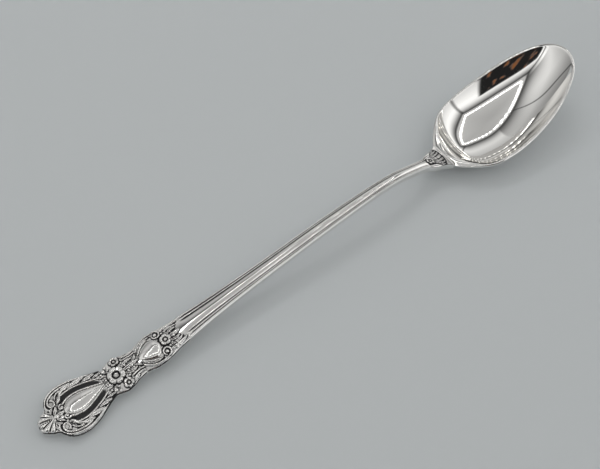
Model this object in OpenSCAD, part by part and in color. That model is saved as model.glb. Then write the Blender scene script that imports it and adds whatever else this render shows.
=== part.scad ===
// Iced tea spoon, struck in one piece and silver plated, lying face up on its bowl and handle.
// X runs from the shell at the end of the handle to the tip of the bowl, Z is up, the table is Z = 0.
// The origin is on the table under the middle of the spoon. Stations are measured from the shell end.

/* [Whole spoon] */
// Length over all, shell end to bowl tip
spoon_len = 190; // [180:1:205]
// Clear height under the top of the arch in the stem
arch_h = 9.1; // [7:0.1:11]
// Station of the top of the arch
arch_at = 113; // [106:1:118]
// Station where the back of the handle touches the table
land_at = 11; // [8:0.5:15]
// Lift of the shell end off the table
tip_lift = 0.7; // [0.2:0.1:1.5]

/* [Bowl] */
// Length of the bowl
bowl_len = 48.5; // [44:0.5:54]
// Width over the rim
bowl_w = 28.4; // [25:0.2:32]
// Metal at the bottom of the bowl
bowl_wall = 1.2; // [0.9:0.1:1.8]
// Width of the flat top of the rim
rim_w = 0.9; // [0.6:0.1:1.3]
// Thickness of the rim's edge
rim_t = 0.9; // [0.6:0.1:1.2]
// Height of the rim at the back of the bowl
rim_back_h = 6; // [5.2:0.1:7.5]
// Height of the rim at the tip of the bowl
rim_tip_h = 20; // [14:0.5:22]
// Distance from the back of the bowl to its deepest point
deepest_back = 17.5; // [14:0.5:22]
// Extra metal between the rim and the hollow at the back of the bowl
lip_w = 1.3; // [0.8:0.1:2]

/* [Neck] */
// Length of the neck behind the bowl
neck_len = 11.5; // [9:0.5:14]
// Thickness at the thin end of the neck
neck_t = 2.7; // [2.3:0.1:3.3]
// Width at the thin end of the neck
neck_w = 3.1; // [2.6:0.1:4]
// Width where the neck meets the bowl
heel_w = 9; // [7.6:0.1:10.4]
// Height of the back of the metal where the neck meets the bowl
heel_h = 2.6; // [2:0.1:3.4]
// Length of the drop under the back of the bowl
drop_len = 10; // [7:0.5:13]

/* [Stem] */
// Thickness of the stem's edge where it leaves the handle
stem_t = 2.1; // [1.7:0.1:2.8]
// Width of the stem where it leaves the handle
stem_w = 7.7; // [6.6:0.1:8.4]
// Width of the stem halfway to the neck
stem_mid_w = 4.2; // [3.6:0.1:5.4]
// Rise of the stem's middle rib over its edge threads
stem_rib_h = 0.75; // [0.4:0.05:1.1]

/* [Handle] */
// Length of the widened end, from the shell to the waist
end_len = 21.5; // [19:0.5:25]
// Width of the widened end
end_w = 16.2; // [14:0.2:19]
// Length of the blossom part, between the two waists
blossom_len = 10; // [9:0.5:12]
// Width of the blossom part
blossom_w = 10.6; // [9.6:0.2:12.4]
// Length of the upper part, up to the stem
upper_len = 14.5; // [13:0.5:17]
// Width of the upper part
upper_w = 10; // [9:0.2:11.6]
// Thickness of the handle's edge
handle_t = 2.3; // [1.8:0.1:3]
// Rise of the handle's field over its edges
handle_crown = 0.7; // [0.3:0.05:1.1]

/* [Relief] */
// Height of the threads and scrolls over the field
thread_h = 0.6; // [0.35:0.05:0.8]
// Half the width of a thread
thread_r = 0.3; // [0.22:0.01:0.38]
// Height of the leaves over the field
leaf_h = 0.75; // [0.4:0.05:1]
// Height of the shell's flutes over the field
shell_h = 0.8; // [0.4:0.05:1]
// Rise of the plain panels over the field
panel_h = 0.8; // [0.4:0.05:1.1]
// Radius of the main blossom
blossom_r = 2.5; // [2.1:0.05:2.8]
// Height of the main blossom's petals
blossom_h = 1.1; // [0.6:0.05:1.4]
// Radius of the two side blossoms
side_blossom_r = 1.35; // [1.1:0.05:1.5]
// Radius of the upper blossom
upper_blossom_r = 1.55; // [1.3:0.05:1.7]
// Radius of the small beads
bead_r = 0.55; // [0.4:0.05:0.65]

/* [Hidden] */
silver = "gainsboro";
antique_silver = "silver";

heel_at = spoon_len - bowl_len;
neck_at = heel_at - neck_len;
upper_at = end_len + blossom_len;
stem_at = upper_at + upper_len;
half_end_w = end_w / 2;
half_blossom_w = blossom_w / 2;
half_upper_w = upper_w / 2;
half_heel_w = heel_w / 2;
half_neck_w = neck_w / 2;

// Smooth interpolation in a table of [x, value] that never overshoots the table's own values
function gap_slope(t, i) = (t[i + 1][1] - t[i][1]) / (t[i + 1][0] - t[i][0]);
function knot_slope(t, i) =
    i <= 0 ? gap_slope(t, 0) :
    i >= len(t) - 1 ? gap_slope(t, len(t) - 2) :
    let (a = gap_slope(t, i - 1), b = gap_slope(t, i))
    a * b <= 0 ? 0 : 2 * a * b / (a + b);
function span_of(t, x, i = 0) = i >= len(t) - 2 || x < t[i + 1][0] ? i : span_of(t, x, i + 1);
function curve(t, x) =
    x <= t[0][0] ? t[0][1] :
    x >= t[len(t) - 1][0] ? t[len(t) - 1][1] :
    let (i = span_of(t, x), gap = t[i + 1][0] - t[i][0], k = (x - t[i][0]) / gap,
         m0 = knot_slope(t, i) * gap, m1 = knot_slope(t, i + 1) * gap)
    t[i][1] * (1 + 2 * k) * (1 - k) * (1 - k) + m0 * k * (1 - k) * (1 - k)
    + t[i + 1][1] * k * k * (3 - 2 * k) - m1 * k * k * (1 - k);
function reversed(v) = [for (i = [len(v) - 1:-1:0]) v[i]];

// Side view: the back of the metal rises from the landing to the arch, then falls to the bowl
rise_shares = [[0.18, 0.17], [0.38, 0.43], [0.62, 0.7], [0.87, 0.95]];
fall_shares = [[0.25, 0.95], [0.62, 0.54], [0.84, 0.2]];
back_table = concat(
    [[0, tip_lift], [land_at, 0]],
    [for (p = rise_shares) [land_at + p[0] * (arch_at - land_at), p[1] * arch_h]],
    [[arch_at, arch_h]],
    [for (p = fall_shares) [arch_at + p[0] * (heel_at - arch_at), heel_h + p[1] * (arch_h - heel_h)]],
    [[heel_at, heel_h]]);
tip_t_share = 0.85;
mid_stem_t_share = 1.05;
edge_t_table = [[0, handle_t * tip_t_share], [land_at, handle_t], [stem_at, stem_t],
                [(stem_at + neck_at) / 2, stem_t * mid_stem_t_share], [neck_at, neck_t],
                [heel_at, rim_back_h - heel_h]];
function back_z(s) = curve(back_table, s);
function edge_z(s) = back_z(s) + curve(edge_t_table, s);

// Plan view: half widths along the handle, the stem and the neck
tip_w_share = 0.1;
end_outline_shares = [[0.012, 0.19], [0.06, 0.31], [0.12, 0.42], [0.172, 0.48], [0.205, 0.6], [0.25, 0.79],
                      [0.32, 0.92], [0.4, 0.985], [0.48, 1], [0.58, 0.96], [0.66, 0.9], [0.76, 0.79],
                      [0.9, 0.62]];
blossom_outline_shares = [[0, 0.82], [0.16, 0.9], [0.34, 1], [0.48, 0.98], [0.72, 0.84]];
upper_outline_shares = [[0, 0.82], [0.12, 0.9], [0.25, 0.985], [0.38, 1], [0.54, 0.95], [0.76, 0.84]];
stem_w_shares = [[0.12, 0.55], [0.34, 0.18], [0.6, 0]];
neck_flare_shares = [[0.35, 0.06], [0.48, 0.3], [0.6, 0.45], [0.8, 0.6], [0.92, 0.8]];
half_w_table = concat(
    [[0, half_end_w * tip_w_share]],
    [for (p = end_outline_shares) [p[0] * end_len, p[1] * half_end_w]],
    [for (p = blossom_outline_shares) [end_len + p[0] * blossom_len, p[1] * half_blossom_w]],
    [for (p = upper_outline_shares) [upper_at + p[0] * upper_len, p[1] * half_upper_w]],
    [[stem_at, stem_w / 2]],
    [for (p = stem_w_shares)
        [stem_at + p[0] * (neck_at - stem_at), (stem_mid_w + p[1] * (stem_w - stem_mid_w)) / 2]],
    [[neck_at, half_neck_w]],
    [for (p = neck_flare_shares) [neck_at + p[0] * neck_len, half_neck_w + p[1] * (half_heel_w - half_neck_w)]],
    [[heel_at, half_heel_w]]);
function half_w(s) = curve(half_w_table, s);

// The front swells over its edges, by this much along the spoon
tip_crown_share = 0.6;
crown_table = [[0, handle_crown * tip_crown_share], [land_at, handle_crown], [stem_at, handle_crown],
               [stem_at + upper_len, stem_rib_h], [neck_at, stem_rib_h], [heel_at, 0]];
function crown(s) = curve(crown_table, s);
function field_z(p) = edge_z(p[0]) + crown(p[0]) * max(0, 1 - pow(p[1] / half_w(p[0]), 2));

// A closed skin over rings that all have the same number of points, with a fan over each end
function mean(ring) = [for (p = ring) 1] * ring / len(ring);
module skin(rings) {
    n = len(rings[0]);
    m = len(rings);
    sides = [for (i = [0:m - 2], j = [0:n - 1]) let (a = i * n + j, b = i * n + (j + 1) % n)
        each [[a, b, b + n], [a, b + n, a + n]]];
    start = [for (j = [0:n - 1]) [m * n, (j + 1) % n, j]];
    finish = [for (j = [0:n - 1]) [m * n + 1, (m - 1) * n + j, (m - 1) * n + (j + 1) % n]];
    polyhedron(points = concat([for (r = rings) each r], [mean(rings[0]), mean(rings[m - 1])]),
               faces = concat(sides, start, finish));
}

module on_table() {
    translate([-spoon_len / 2, 0, 0]) children();
}

// One cross-section of the struck blank: a front given as shares, over a rounded back
back_round_shares = [[0, 0], [0.66, 0], [0.9, 0.16], [1, 0.5]];
field_shares = [for (u = [0, 0.25, 0.5, 0.7, 0.86, 1]) [u, 1 - u * u]];
function front_shares(half) =
    concat([for (p = reversed(half)) [-p[0], p[1]]], [for (i = [1:len(half) - 1]) half[i]]);
function section(s, half_front) =
    let (w = half_w(s), e = edge_z(s), b = back_z(s), c = crown(s))
    concat([for (p = front_shares(half_front)) [s, p[0] * w, e + p[1] * c]],
           [for (p = reversed(front_shares(back_round_shares))) [s, p[0] * w, b + p[1] * (e - b)]]);

// Relief: strips that stand on the field and follow paths drawn in plan, as [station, side]
function path_dir(path, i) =
    let (a = path[max(i - 1, 0)], b = path[min(i + 1, len(path) - 1)]) (b - a) / norm(b - a);
function strip_ring(path, i, r, h, profile) =
    let (d = path_dir(path, i), side = [-d[1], d[0]], feet = [for (q = profile) path[i] + side * q[0] * r])
    concat([for (j = [0:len(profile) - 1]) [feet[j][0], feet[j][1], field_z(feet[j]) + profile[j][1] * h]],
           [for (f = reversed(feet)) [f[0], f[1], field_z(f)]]);
module relief(path, r, h, profile, width_shares, height_shares) {
    last = len(path) - 1;
    on_table() skin([for (i = [0:last])
        strip_ring(path, i, r * curve(width_shares, i / last), h * curve(height_shares, i / last), profile)]);
}
function mirrored(path) = [for (p = path) [p[0], -p[1]]];
module both_sides(path, r, h, profile, width_shares, height_shares) {
    relief(path, r, h, profile, width_shares, height_shares);
    relief(mirrored(path), r, h, profile, width_shares, height_shares);
}

// Cross-sections of the relief, across it and up, as shares of its half width and height
ridge_shares = [[-1, 0.3], [0, 1], [1, 0.3]];
thread_shares = [[-1, 0.3], [-0.5, 0.9], [0.5, 0.9], [1, 0.3]];
husk_shares = [[-1, 0.35], [-0.5, 1], [0, 0.62], [0.5, 1], [1, 0.35]];
cup_shares = [[-1, 0.7], [-0.55, 1], [0.55, 1], [1, 0.7]];
dome_rim_share = 0.14;
dome_shares = [for (u = [-1, -0.85, -0.6, -0.3, 0, 0.3, 0.6, 0.85, 1])
    [u, dome_rim_share + (1 - dome_rim_share) * sqrt(1 - u * u)]];

// How the relief swells and tapers along its path
full_shares = [[0, 0.7], [0.08, 1], [0.92, 1], [1, 0.7]];
taper_shares = [[0, 0.7], [0.08, 1], [0.6, 0.95], [1, 0.4]];
leaf_shares = [[0, 0.4], [0.35, 1], [0.65, 0.85], [1, 0.15]];
petal_shares = [[0, 0.42], [0.6, 0.92], [0.85, 1], [1, 0.6]];
cupped_shares = [[0, 0.5], [0.6, 1], [1, 0.8]];
flute_shares = [[0, 0.3], [0.6, 0.8], [0.85, 1], [1, 0.6]];
ball_shares = [[0, 0.25], [0.15, 0.71], [0.5, 1], [0.85, 0.71], [1, 0.25]];
dome_ends_shares = [[0, 0.55], [0.15, 1], [0.8, 1], [1, 0.6]];
module threads(path, r, width_shares) {
    both_sides(path, r, thread_h, thread_shares, width_shares, full_shares);
}
module leaf(path, r) {
    relief(path, r, leaf_h, husk_shares, leaf_shares, full_shares);
}
module leaves(path, r) {
    leaf(path, r);
    leaf(mirrored(path), r);
}

// Smooth path through points chosen by hand
function path_point(p, i, k) =
    let (a = p[max(i - 1, 0)], b = p[i], c = p[i + 1], d = p[min(i + 2, len(p) - 1)])
    (2 * b + (c - a) * k + (2 * a - 5 * b + 4 * c - d) * k * k + (3 * b - a - 3 * c + d) * k * k * k) / 2;
function smooth(p, steps = 2) =
    concat([for (i = [0:len(p) - 2], k = [0:steps - 1]) path_point(p, i, k / steps)], [p[len(p) - 1]]);
function straight(a, b, steps = 4) = [for (k = [0:steps]) a + (b - a) * k / steps];
function polar(c, r, a) = c + r * [cos(a), sin(a)];
function arc(c, r, from, to, steps) = [for (k = [0:steps]) polar(c, r, from + (to - from) * k / steps)];

// Places in the parts of the handle and the neck, as shares of each part's length and half width
function in_end(p) = [p[0] * end_len, p[1] * half_end_w];
function in_blossom(p) = [end_len + p[0] * blossom_len, p[1] * half_blossom_w];
function in_upper(p) = [upper_at + p[0] * upper_len, p[1] * half_upper_w];
function in_neck(p) = [neck_at + p[0] * neck_len, p[1] * half_heel_w];
function end_path(shares, steps = 2) = smooth([for (p = shares) in_end(p)], steps);
function blossom_path(shares, steps = 2) = smooth([for (p = shares) in_blossom(p)], steps);
function upper_path(shares, steps = 2) = smooth([for (p = shares) in_upper(p)], steps);
function neck_path(shares, steps = 2) = smooth([for (p = shares) in_neck(p)], steps);

module bead(c, r, h) {
    relief(straight(c - [r, 0], c + [r, 0]), r, h, thread_shares, ball_shares, ball_shares);
}

module blossom(c, r, h, petals, turn) {
    petal_start_share = 0.4;
    petal_w_share = 0.92;
    boss_share = 0.3;
    for (k = [0:petals - 1]) {
        a = turn + k * 360 / petals;
        relief(straight(polar(c, petal_start_share * r, a), polar(c, r, a), 3),
               r * petal_w_share * sin(180 / petals), h, cup_shares, petal_shares, cupped_shares);
    }
    bead(c, boss_share * r, h);
}

// Bowl: the rim follows an outline in plan and a rising line in side view, over a round hollow
rim_rise_shares = [[0, 0], [0.175, 0.09], [0.35, 0.175], [0.5, 0.29], [0.69, 0.51], [0.845, 0.755], [1, 1]];
bowl_side_shares = [[0.02, 0.41], [0.052, 0.528], [0.093, 0.67], [0.175, 0.873], [0.258, 0.96], [0.34, 0.994],
                    [0.42, 1], [0.505, 0.986], [0.6, 0.947], [0.69, 0.887], [0.773, 0.798], [0.845, 0.69],
                    [0.907, 0.56], [0.955, 0.41], [0.985, 0.25], [1, 0]];
hollow_round_share = 0.85;
under_ring_shares = [0.05, 0.2, 0.36, 0.5, 0.63, 0.75, 0.86, 0.94, 1];
hollow_ring_shares = [1, 0.95, 0.88, 0.77, 0.64, 0.5, 0.36, 0.2, 0.05];
drop_side_share = 1.5;
bowl_floor = [heel_at + deepest_back, 0];
rim_table = [for (p = rim_rise_shares)
    [heel_at + p[0] * bowl_len, rim_back_h + p[1] * (rim_tip_h - rim_back_h)]];
function rim_z(s) = curve(rim_table, s);
bowl_side = smooth(concat([[heel_at, half_heel_w]],
                          [for (p = bowl_side_shares) [heel_at + p[0] * bowl_len, p[1] * bowl_w / 2]]));
heel_edge = [for (i = [0:len(back_round_shares) - 2]) [heel_at, back_round_shares[i][0] * half_heel_w]];
half_rim = concat(heel_edge, bowl_side);
bowl_rim = concat(half_rim, mirrored(reversed([for (i = [1:len(half_rim) - 2]) half_rim[i]])));
function depth_share(r) =
    (1 - sqrt(1 - pow(hollow_round_share * r, 2))) / (1 - sqrt(1 - pow(hollow_round_share, 2)));
function inset(p) =
    let (back = max(0, 1 - (p[0] - heel_at) / deepest_back))
    p + (bowl_floor - p) * (rim_w + lip_w * pow(back, 4)) / norm(bowl_floor - p);

// The drop: metal under the back of the bowl that carries the back of the neck on into it
heel_under = rim_back_h - rim_t;
drop_h = heel_under - heel_h;
drop_side_table = concat([for (p = back_round_shares) [p[0], 1 - p[1] * (rim_back_h - heel_h) / drop_h]],
                         [[drop_side_share, 0]]);
function drop_depth(p) =
    let (k = min(1, (p[0] - heel_at) / drop_len))
    drop_h * (1 - k) * (1 - k) * (1 + 2 * k) * curve(drop_side_table, abs(p[1]) / half_heel_w);
function under_point(rim, r) =
    let (p = bowl_floor + (rim - bowl_floor) * r)
    [p[0], p[1], max(0, (rim_z(rim[0]) - rim_t) * depth_share(r) - drop_depth(p))];
function hollow_point(rim, r) =
    let (p = bowl_floor + (inset(rim) - bowl_floor) * r)
    [p[0], p[1], bowl_wall + (rim_z(rim[0]) - bowl_wall) * depth_share(r)];

module bowl() {
    color(silver) on_table() skin(concat(
        [for (r = under_ring_shares) [for (p = bowl_rim) under_point(p, r)]],
        [[for (p = bowl_rim) [p[0], p[1], rim_z(p[0])]]],
        [for (r = hollow_ring_shares) [for (p = bowl_rim) hollow_point(p, r)]]));
}

module neck() {
    steps = 14;
    color(silver) on_table() skin([for (k = [0:steps]) section(neck_at + k * neck_len / steps, field_shares)]);
}

// Stem: a middle rib and two threads along each edge, struck into the front
stem_front_shares = [[0, 1], [0.3, 0.9], [0.5, 0.55], [0.6, 0.1], [0.66, 0.3], [0.76, 0.3], [0.8, 0.02],
                     [0.85, 0.25], [0.95, 0.25], [1, 0]];
module stem() {
    steps = 18;
    color(silver) on_table() skin([for (k = [0:steps])
        section(stem_at + k * (neck_at - stem_at) / steps, stem_front_shares)]);
}

module handle() {
    stations = concat([0], [for (p = end_outline_shares) p[0] * end_len],
                      [for (p = blossom_outline_shares) end_len + p[0] * blossom_len],
                      [for (p = upper_outline_shares) upper_at + p[0] * upper_len], [stem_at]);
    color(silver) on_table() skin([for (s = stations) section(s, field_shares)]);
}

// Shell of seven flutes that fan out from a boss to the end of the handle
module end_shell() {
    root = in_end([0.235, 0]);
    flute_start_share = 0.22;
    flute_end_share = 0.96;
    flute_w_share = 0.15;
    boss_share = 0.16;
    // Each flute's angle from the middle one, and its length as a share of the shell's
    flute_fan_shares = [[0, 1], [20, 0.94], [39, 0.86], [58, 0.79]];
    color(antique_silver) {
        for (f = flute_fan_shares, side = f[0] == 0 ? [1] : [-1, 1]) {
            a = 180 + side * f[0];
            reach = root[0] * f[1];
            low = polar(root, reach * flute_start_share, a);
            high = polar(root, reach * flute_end_share, a);
            relief(straight(low, high, 3), root[0] * flute_w_share, shell_h, husk_shares, flute_shares, flute_shares);
        }
        bead(in_end([0.262, 0]), root[0] * boss_share, shell_h);
    }
}

// The outer thread of each side and the scroll that winds up inside it
module end_scrolls() {
    outer_shares = [[0.225, 0.34], [0.205, 0.46], [0.215, 0.6], [0.26, 0.75], [0.34, 0.88], [0.45, 0.945],
                    [0.58, 0.91], [0.73, 0.785], [0.87, 0.66], [0.985, 0.54]];
    inner_shares = [[0.325, 0.58], [0.32, 0.47], [0.285, 0.41], [0.25, 0.49], [0.25, 0.61], [0.29, 0.72],
                    [0.36, 0.81], [0.45, 0.85], [0.57, 0.825]];
    color(antique_silver) {
        threads(end_path(outer_shares), thread_r, taper_shares);
        threads(end_path(inner_shares), thread_r, taper_shares);
    }
}

// A row of acanthus lobes along each side, from the scroll towards the waist
module husk_borders() {
    row_shares = [[0.353, 0.64], [0.451, 0.695], [0.549, 0.7], [0.647, 0.67], [0.744, 0.61], [0.842, 0.52],
                  [0.935, 0.42]];
    lobe_w_share = 0.08;
    lobe_lean_share = 0.035;
    lobe_lift_share = 0.03;
    color(antique_silver) for (i = [0:len(row_shares) - 2]) {
        root = in_end(row_shares[i]);
        tip = in_end(row_shares[i + 1] + [0, lobe_lean_share]);
        belly = (root + tip) / 2 + [0, half_end_w * lobe_lift_share];
        leaves(smooth([root, belly, tip]), half_end_w * lobe_w_share);
    }
}

// The thread that bounds each dark crescent on its outer side
module crescent_threads() {
    crescent_shares = [[0.375, 0.51], [0.44, 0.58], [0.53, 0.605], [0.63, 0.58], [0.74, 0.5], [0.85, 0.395],
                       [0.95, 0.28]];
    color(antique_silver)
        threads(end_path(crescent_shares), thread_r, taper_shares);
}

oval_shares = [[0.405, 0.27], [0.46, 0.335], [0.54, 0.37], [0.62, 0.35], [0.7, 0.3], [0.78, 0.225],
               [0.86, 0.14], [0.93, 0.065]];
module oval_panel() {
    gap = thread_r * 1.25;
    steps = 14;
    edge_shares = concat([[0.36, 0.06], [0.39, 0.12]], oval_shares);
    across = [for (p = edge_shares) in_end(p)[1] - gap];
    first = edge_shares[0][0];
    reach = edge_shares[len(edge_shares) - 1][0] - first;
    along_shares = [for (i = [0:len(across) - 1])
        [(edge_shares[i][0] - first) / reach, across[i] / max(across)]];
    color(silver) relief(straight(in_end([first, 0]), in_end([first + reach, 0]), steps), max(across), panel_h,
                         dome_shares, along_shares, dome_ends_shares);
}

// The thread round the oval panel, with a curl at the shell end of each side
module oval_border() {
    curl = in_end([0.355, 0.185]);
    curl_r = 0.03 * end_len;
    curl_thread_r = 0.9 * thread_r;
    color(antique_silver) {
        threads(end_path(oval_shares), thread_r, taper_shares);
        threads(arc(curl, curl_r, 60, 330, 9), curl_thread_r, taper_shares);
    }
}

module main_blossom() {
    color(antique_silver) blossom(in_blossom([0.27, 0]), blossom_r, blossom_h, 6, 30);
}

module side_blossoms() {
    color(antique_silver) for (side = [-1, 1])
        blossom(in_blossom([0.43, side * 0.73]), side_blossom_r, leaf_h, 5, side * 18);
}

module beads() {
    bead_shares = [[0.05, 0.62], [0.145, 0.76]];
    color(antique_silver) for (p = bead_shares, side = [-1, 1])
        bead(in_blossom([p[0], side * p[1]]), bead_r, leaf_h);
}

// Three leaves that grow out of the main blossom towards the upper panel
module waist_spray() {
    mid_shares = [[0.56, 0], [0.78, 0], [0.98, 0]];
    side_leaf_shares = [[0.58, 0.24], [0.75, 0.3], [0.93, 0.27]];
    leaf_w_share = 0.13;
    color(antique_silver) {
        leaf(blossom_path(mid_shares), leaf_w_share * half_blossom_w);
        leaves(blossom_path(side_leaf_shares), leaf_w_share * half_blossom_w * 0.8);
    }
}

// Two reeds along each edge of the waist
module waist_reeds() {
    inner_reed_shares = [[0.63, 0.46], [0.8, 0.44], [0.98, 0.45]];
    outer_reed_shares = [[0.67, 0.68], [0.82, 0.62], [0.98, 0.63]];
    color(antique_silver) {
        threads(blossom_path(inner_reed_shares), thread_r, full_shares);
        threads(blossom_path(outer_reed_shares), thread_r, full_shares);
    }
}

module upper_panel() {
    panel_w_shares = [[0, 0.2], [0.3, 0.62], [0.6, 0.95], [0.8, 1], [1, 0.7]];
    widest_share = 0.52;
    color(silver) relief(straight(in_upper([0.02, 0]), in_upper([0.44, 0]), 9), widest_share * half_upper_w,
                         panel_h, dome_shares, panel_w_shares, dome_ends_shares);
}

// Leafy scrolls that open out round the upper panel
module upper_husks() {
    outer_shares = [[0.02, 0.46], [0.1, 0.68], [0.2, 0.84], [0.33, 0.9], [0.45, 0.84]];
    inner_shares = [[0.05, 0.32], [0.13, 0.5], [0.23, 0.65], [0.33, 0.7]];
    leaf_w_share = 0.09;
    inner_r = leaf_w_share * half_upper_w;
    color(antique_silver) {
        threads(upper_path(outer_shares), thread_r, taper_shares);
        both_sides(upper_path(inner_shares), inner_r, leaf_h, ridge_shares, leaf_shares, full_shares);
    }
}

// Curls that end the leafy scrolls, each round a ball
module upper_volutes() {
    eye = in_upper([0.51, 0.6]);
    curl_r = 0.075 * upper_len;
    ball_r = 0.035 * upper_len;
    color(antique_silver) {
        threads(arc(eye, curl_r, 120, -170, 12), thread_r, taper_shares);
        for (side = [-1, 1]) bead([eye[0], side * eye[1]], ball_r, leaf_h);
    }
}

module upper_blossom() {
    color(antique_silver) blossom(in_upper([0.605, 0]), upper_blossom_r, leaf_h, 5, 0);
}

// Leaves that close the ornament and run out into the stem's threads
module stem_spray() {
    mid_shares = [[0.73, 0], [0.83, 0], [0.94, 0]];
    side_leaf_shares = [[0.72, 0.18], [0.78, 0.27], [0.85, 0.3]];
    edge_leaf_shares = [[0.64, 0.68], [0.76, 0.63], [0.9, 0.56], [0.99, 0.53]];
    leaf_w_share = 0.13;
    color(antique_silver) {
        leaf(upper_path(mid_shares), leaf_w_share * half_upper_w);
        leaves(upper_path(side_leaf_shares), leaf_w_share * half_upper_w * 0.8);
        leaves(upper_path(edge_leaf_shares), leaf_w_share * half_upper_w);
    }
}

// A small fan of leaves on the neck, under a lip at the back of the bowl
module neck_spray() {
    mid_shares = [[0.42, 0], [0.6, 0], [0.82, 0]];
    side_leaf_shares = [[0.46, 0.2], [0.62, 0.36], [0.8, 0.5]];
    lip_shares = [[0.9, -0.62], [0.95, -0.35], [0.97, 0], [0.95, 0.35], [0.9, 0.62]];
    leaf_w_share = 0.13;
    color(antique_silver) {
        leaf(neck_path(mid_shares), leaf_w_share * half_heel_w);
        leaves(neck_path(side_leaf_shares), leaf_w_share * half_heel_w);
        relief(neck_path(lip_shares), thread_r, thread_h, thread_shares, full_shares, full_shares);
    }
}

bowl();
neck();
stem();
handle();
end_shell();
end_scrolls();
husk_borders();
crescent_threads();
oval_panel();
oval_border();
main_blossom();
side_blossoms();
beads();
waist_spray();
waist_reeds();
upper_panel();
upper_husks();
upper_volutes();
upper_blossom();
stem_spray();
neck_spray();
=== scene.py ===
"""Looks of the iced tea spoon: a struck silver blank, its relief, its finishes, and the studio round it.

Lengths in the classes are millimetres. Stations run along the spoon from the shell end of the handle,
sides run across it, and heights are over the table. `Blank.place` turns them into metres in the CAD frame.
"""
import logging
import math
from dataclasses import dataclass, replace
from enum import Enum
from functools import cached_property
from typing import Callable, Protocol, Sequence

import bpy
import numpy as np
from mathutils import Matrix, Vector


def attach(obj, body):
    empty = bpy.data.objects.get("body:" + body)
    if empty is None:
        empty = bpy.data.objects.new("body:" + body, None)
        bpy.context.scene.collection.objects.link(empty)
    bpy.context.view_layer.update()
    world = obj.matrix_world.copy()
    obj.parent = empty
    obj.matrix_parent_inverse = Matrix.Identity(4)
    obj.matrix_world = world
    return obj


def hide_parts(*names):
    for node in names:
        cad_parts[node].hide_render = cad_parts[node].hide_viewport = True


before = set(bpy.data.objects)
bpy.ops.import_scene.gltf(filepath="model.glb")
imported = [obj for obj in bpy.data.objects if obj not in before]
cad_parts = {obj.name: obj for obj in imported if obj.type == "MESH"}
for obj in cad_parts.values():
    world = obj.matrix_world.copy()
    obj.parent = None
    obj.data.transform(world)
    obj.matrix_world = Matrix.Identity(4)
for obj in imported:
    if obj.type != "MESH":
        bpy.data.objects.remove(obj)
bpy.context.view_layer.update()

Array = np.ndarray
Knots = Sequence[tuple[float, float]]
Spans = Sequence[tuple[float, float, int]]
Box = tuple[float, float, float, float]
Colour = tuple[float, float, float, float]
Thing = bpy.types.Object
Tree = bpy.types.NodeTree
Silver = bpy.types.Material

LOG = logging.getLogger("spoon")
BODY = "root"
MM = 0.001
AGED_TONE = (0.94, 0.93, 0.91, 1.0)
FAR_BELOW = -9.0
SIDE_SLOPE = 1.7
TINY = 0.001
PATH_STEPS = 8
SPIRAL_STEPS = 40
SOCKETS = {"Geometry": "NodeSocketGeometry", "Silver": "NodeSocketMaterial"}


class Slot(Enum):
    """Material slots of the record."""

    POLISHED = "polished_silver"
    ANTIQUE = "antique_silver"


def part(x: Array) -> Array:
    """Hold values between 0 and 1."""
    return np.clip(x, 0, 1)


def bell(x: Array) -> Array:
    """Bell curve, 1 at 0."""
    return np.exp(-(x**2))


def arc(x: Array) -> Array:
    """Height of the unit circle over x, and 0 beside it."""
    return np.sqrt(np.maximum(0, 1 - x**2))


def spans(*runs: tuple[float, float, int]) -> Array:
    """Evenly spaced shares, one run after the other."""
    return np.concatenate([np.linspace(*run) for run in runs])


def soft_step(k: Array) -> Array:
    """Ease from 0 to 1 as k goes from 0 to 1."""
    k = part(k)
    return k * k * (3 - 2 * k)


def locate(xs: Array, x: Array | float) -> tuple[Array, Array]:
    """Hold x between the first and last knot, and number the knot before it."""
    at = np.clip(np.asarray(x, float), xs[0], xs[-1])
    return at, np.clip(np.searchsorted(xs, at, side="right") - 1, 0, len(xs) - 2)


def flow(knots: Knots, x: Array | float) -> Array:
    """Interpolate smoothly through knots without overshooting any of them.

    Args:
        knots: Pairs of x and value, in rising order of x.
        x: Where to read the curve.

    Returns:
        The curve's values, held level beyond the first and last knot.
    """
    xs, ys = np.asarray(knots, float).T
    gap = np.diff(xs)
    rise = np.diff(ys) / gap
    slope = np.concatenate(([rise[0]], np.zeros(len(rise) - 1), [rise[-1]]))
    before, after = rise[:-1], rise[1:]
    same = before * after > 0
    slope[1:-1][same] = 2 * before[same] * after[same] / (before[same] + after[same])
    at, i = locate(xs, x)
    k = (at - xs[i]) / gap[i]
    return (
        ys[i] * (1 + 2 * k) * (1 - k) ** 2
        + slope[i] * gap[i] * k * (1 - k) ** 2
        + ys[i + 1] * k * k * (3 - 2 * k)
        - slope[i + 1] * gap[i] * k * k * (1 - k)
    )


def spline(knots: Knots, x: Array | float) -> Array:
    """Interpolate through knots with a natural cubic spline, whose curvature has no jumps.

    Args:
        knots: Pairs of x and value, in rising order of x.
        x: Where to read the curve.

    Returns:
        The spline's values.
    """
    xs, ys = np.asarray(knots, float).T
    gap, size = np.diff(xs), len(xs)
    system, wanted = np.eye(size), np.zeros(size)
    for i in range(1, size - 1):
        system[i, i - 1 : i + 2] = gap[i - 1], 2 * (gap[i - 1] + gap[i]), gap[i]
        wanted[i] = 6 * ((ys[i + 1] - ys[i]) / gap[i] - (ys[i] - ys[i - 1]) / gap[i - 1])
    bend = np.linalg.solve(system, wanted)
    at, i = locate(xs, x)
    low, high = at - xs[i], xs[i + 1] - at
    return (
        (bend[i] * high**3 + bend[i + 1] * low**3) / (6 * gap[i])
        + (ys[i] / gap[i] - bend[i] * gap[i] / 6) * high
        + (ys[i + 1] / gap[i] - bend[i + 1] * gap[i] / 6) * low
    )


def spread(shares: Knots, at: float, size: float, low: float, high: float) -> Knots:
    """Turn shares into knots over a length, with values from low to high."""
    return [(at + a * size, low + b * (high - low)) for a, b in shares]


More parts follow.
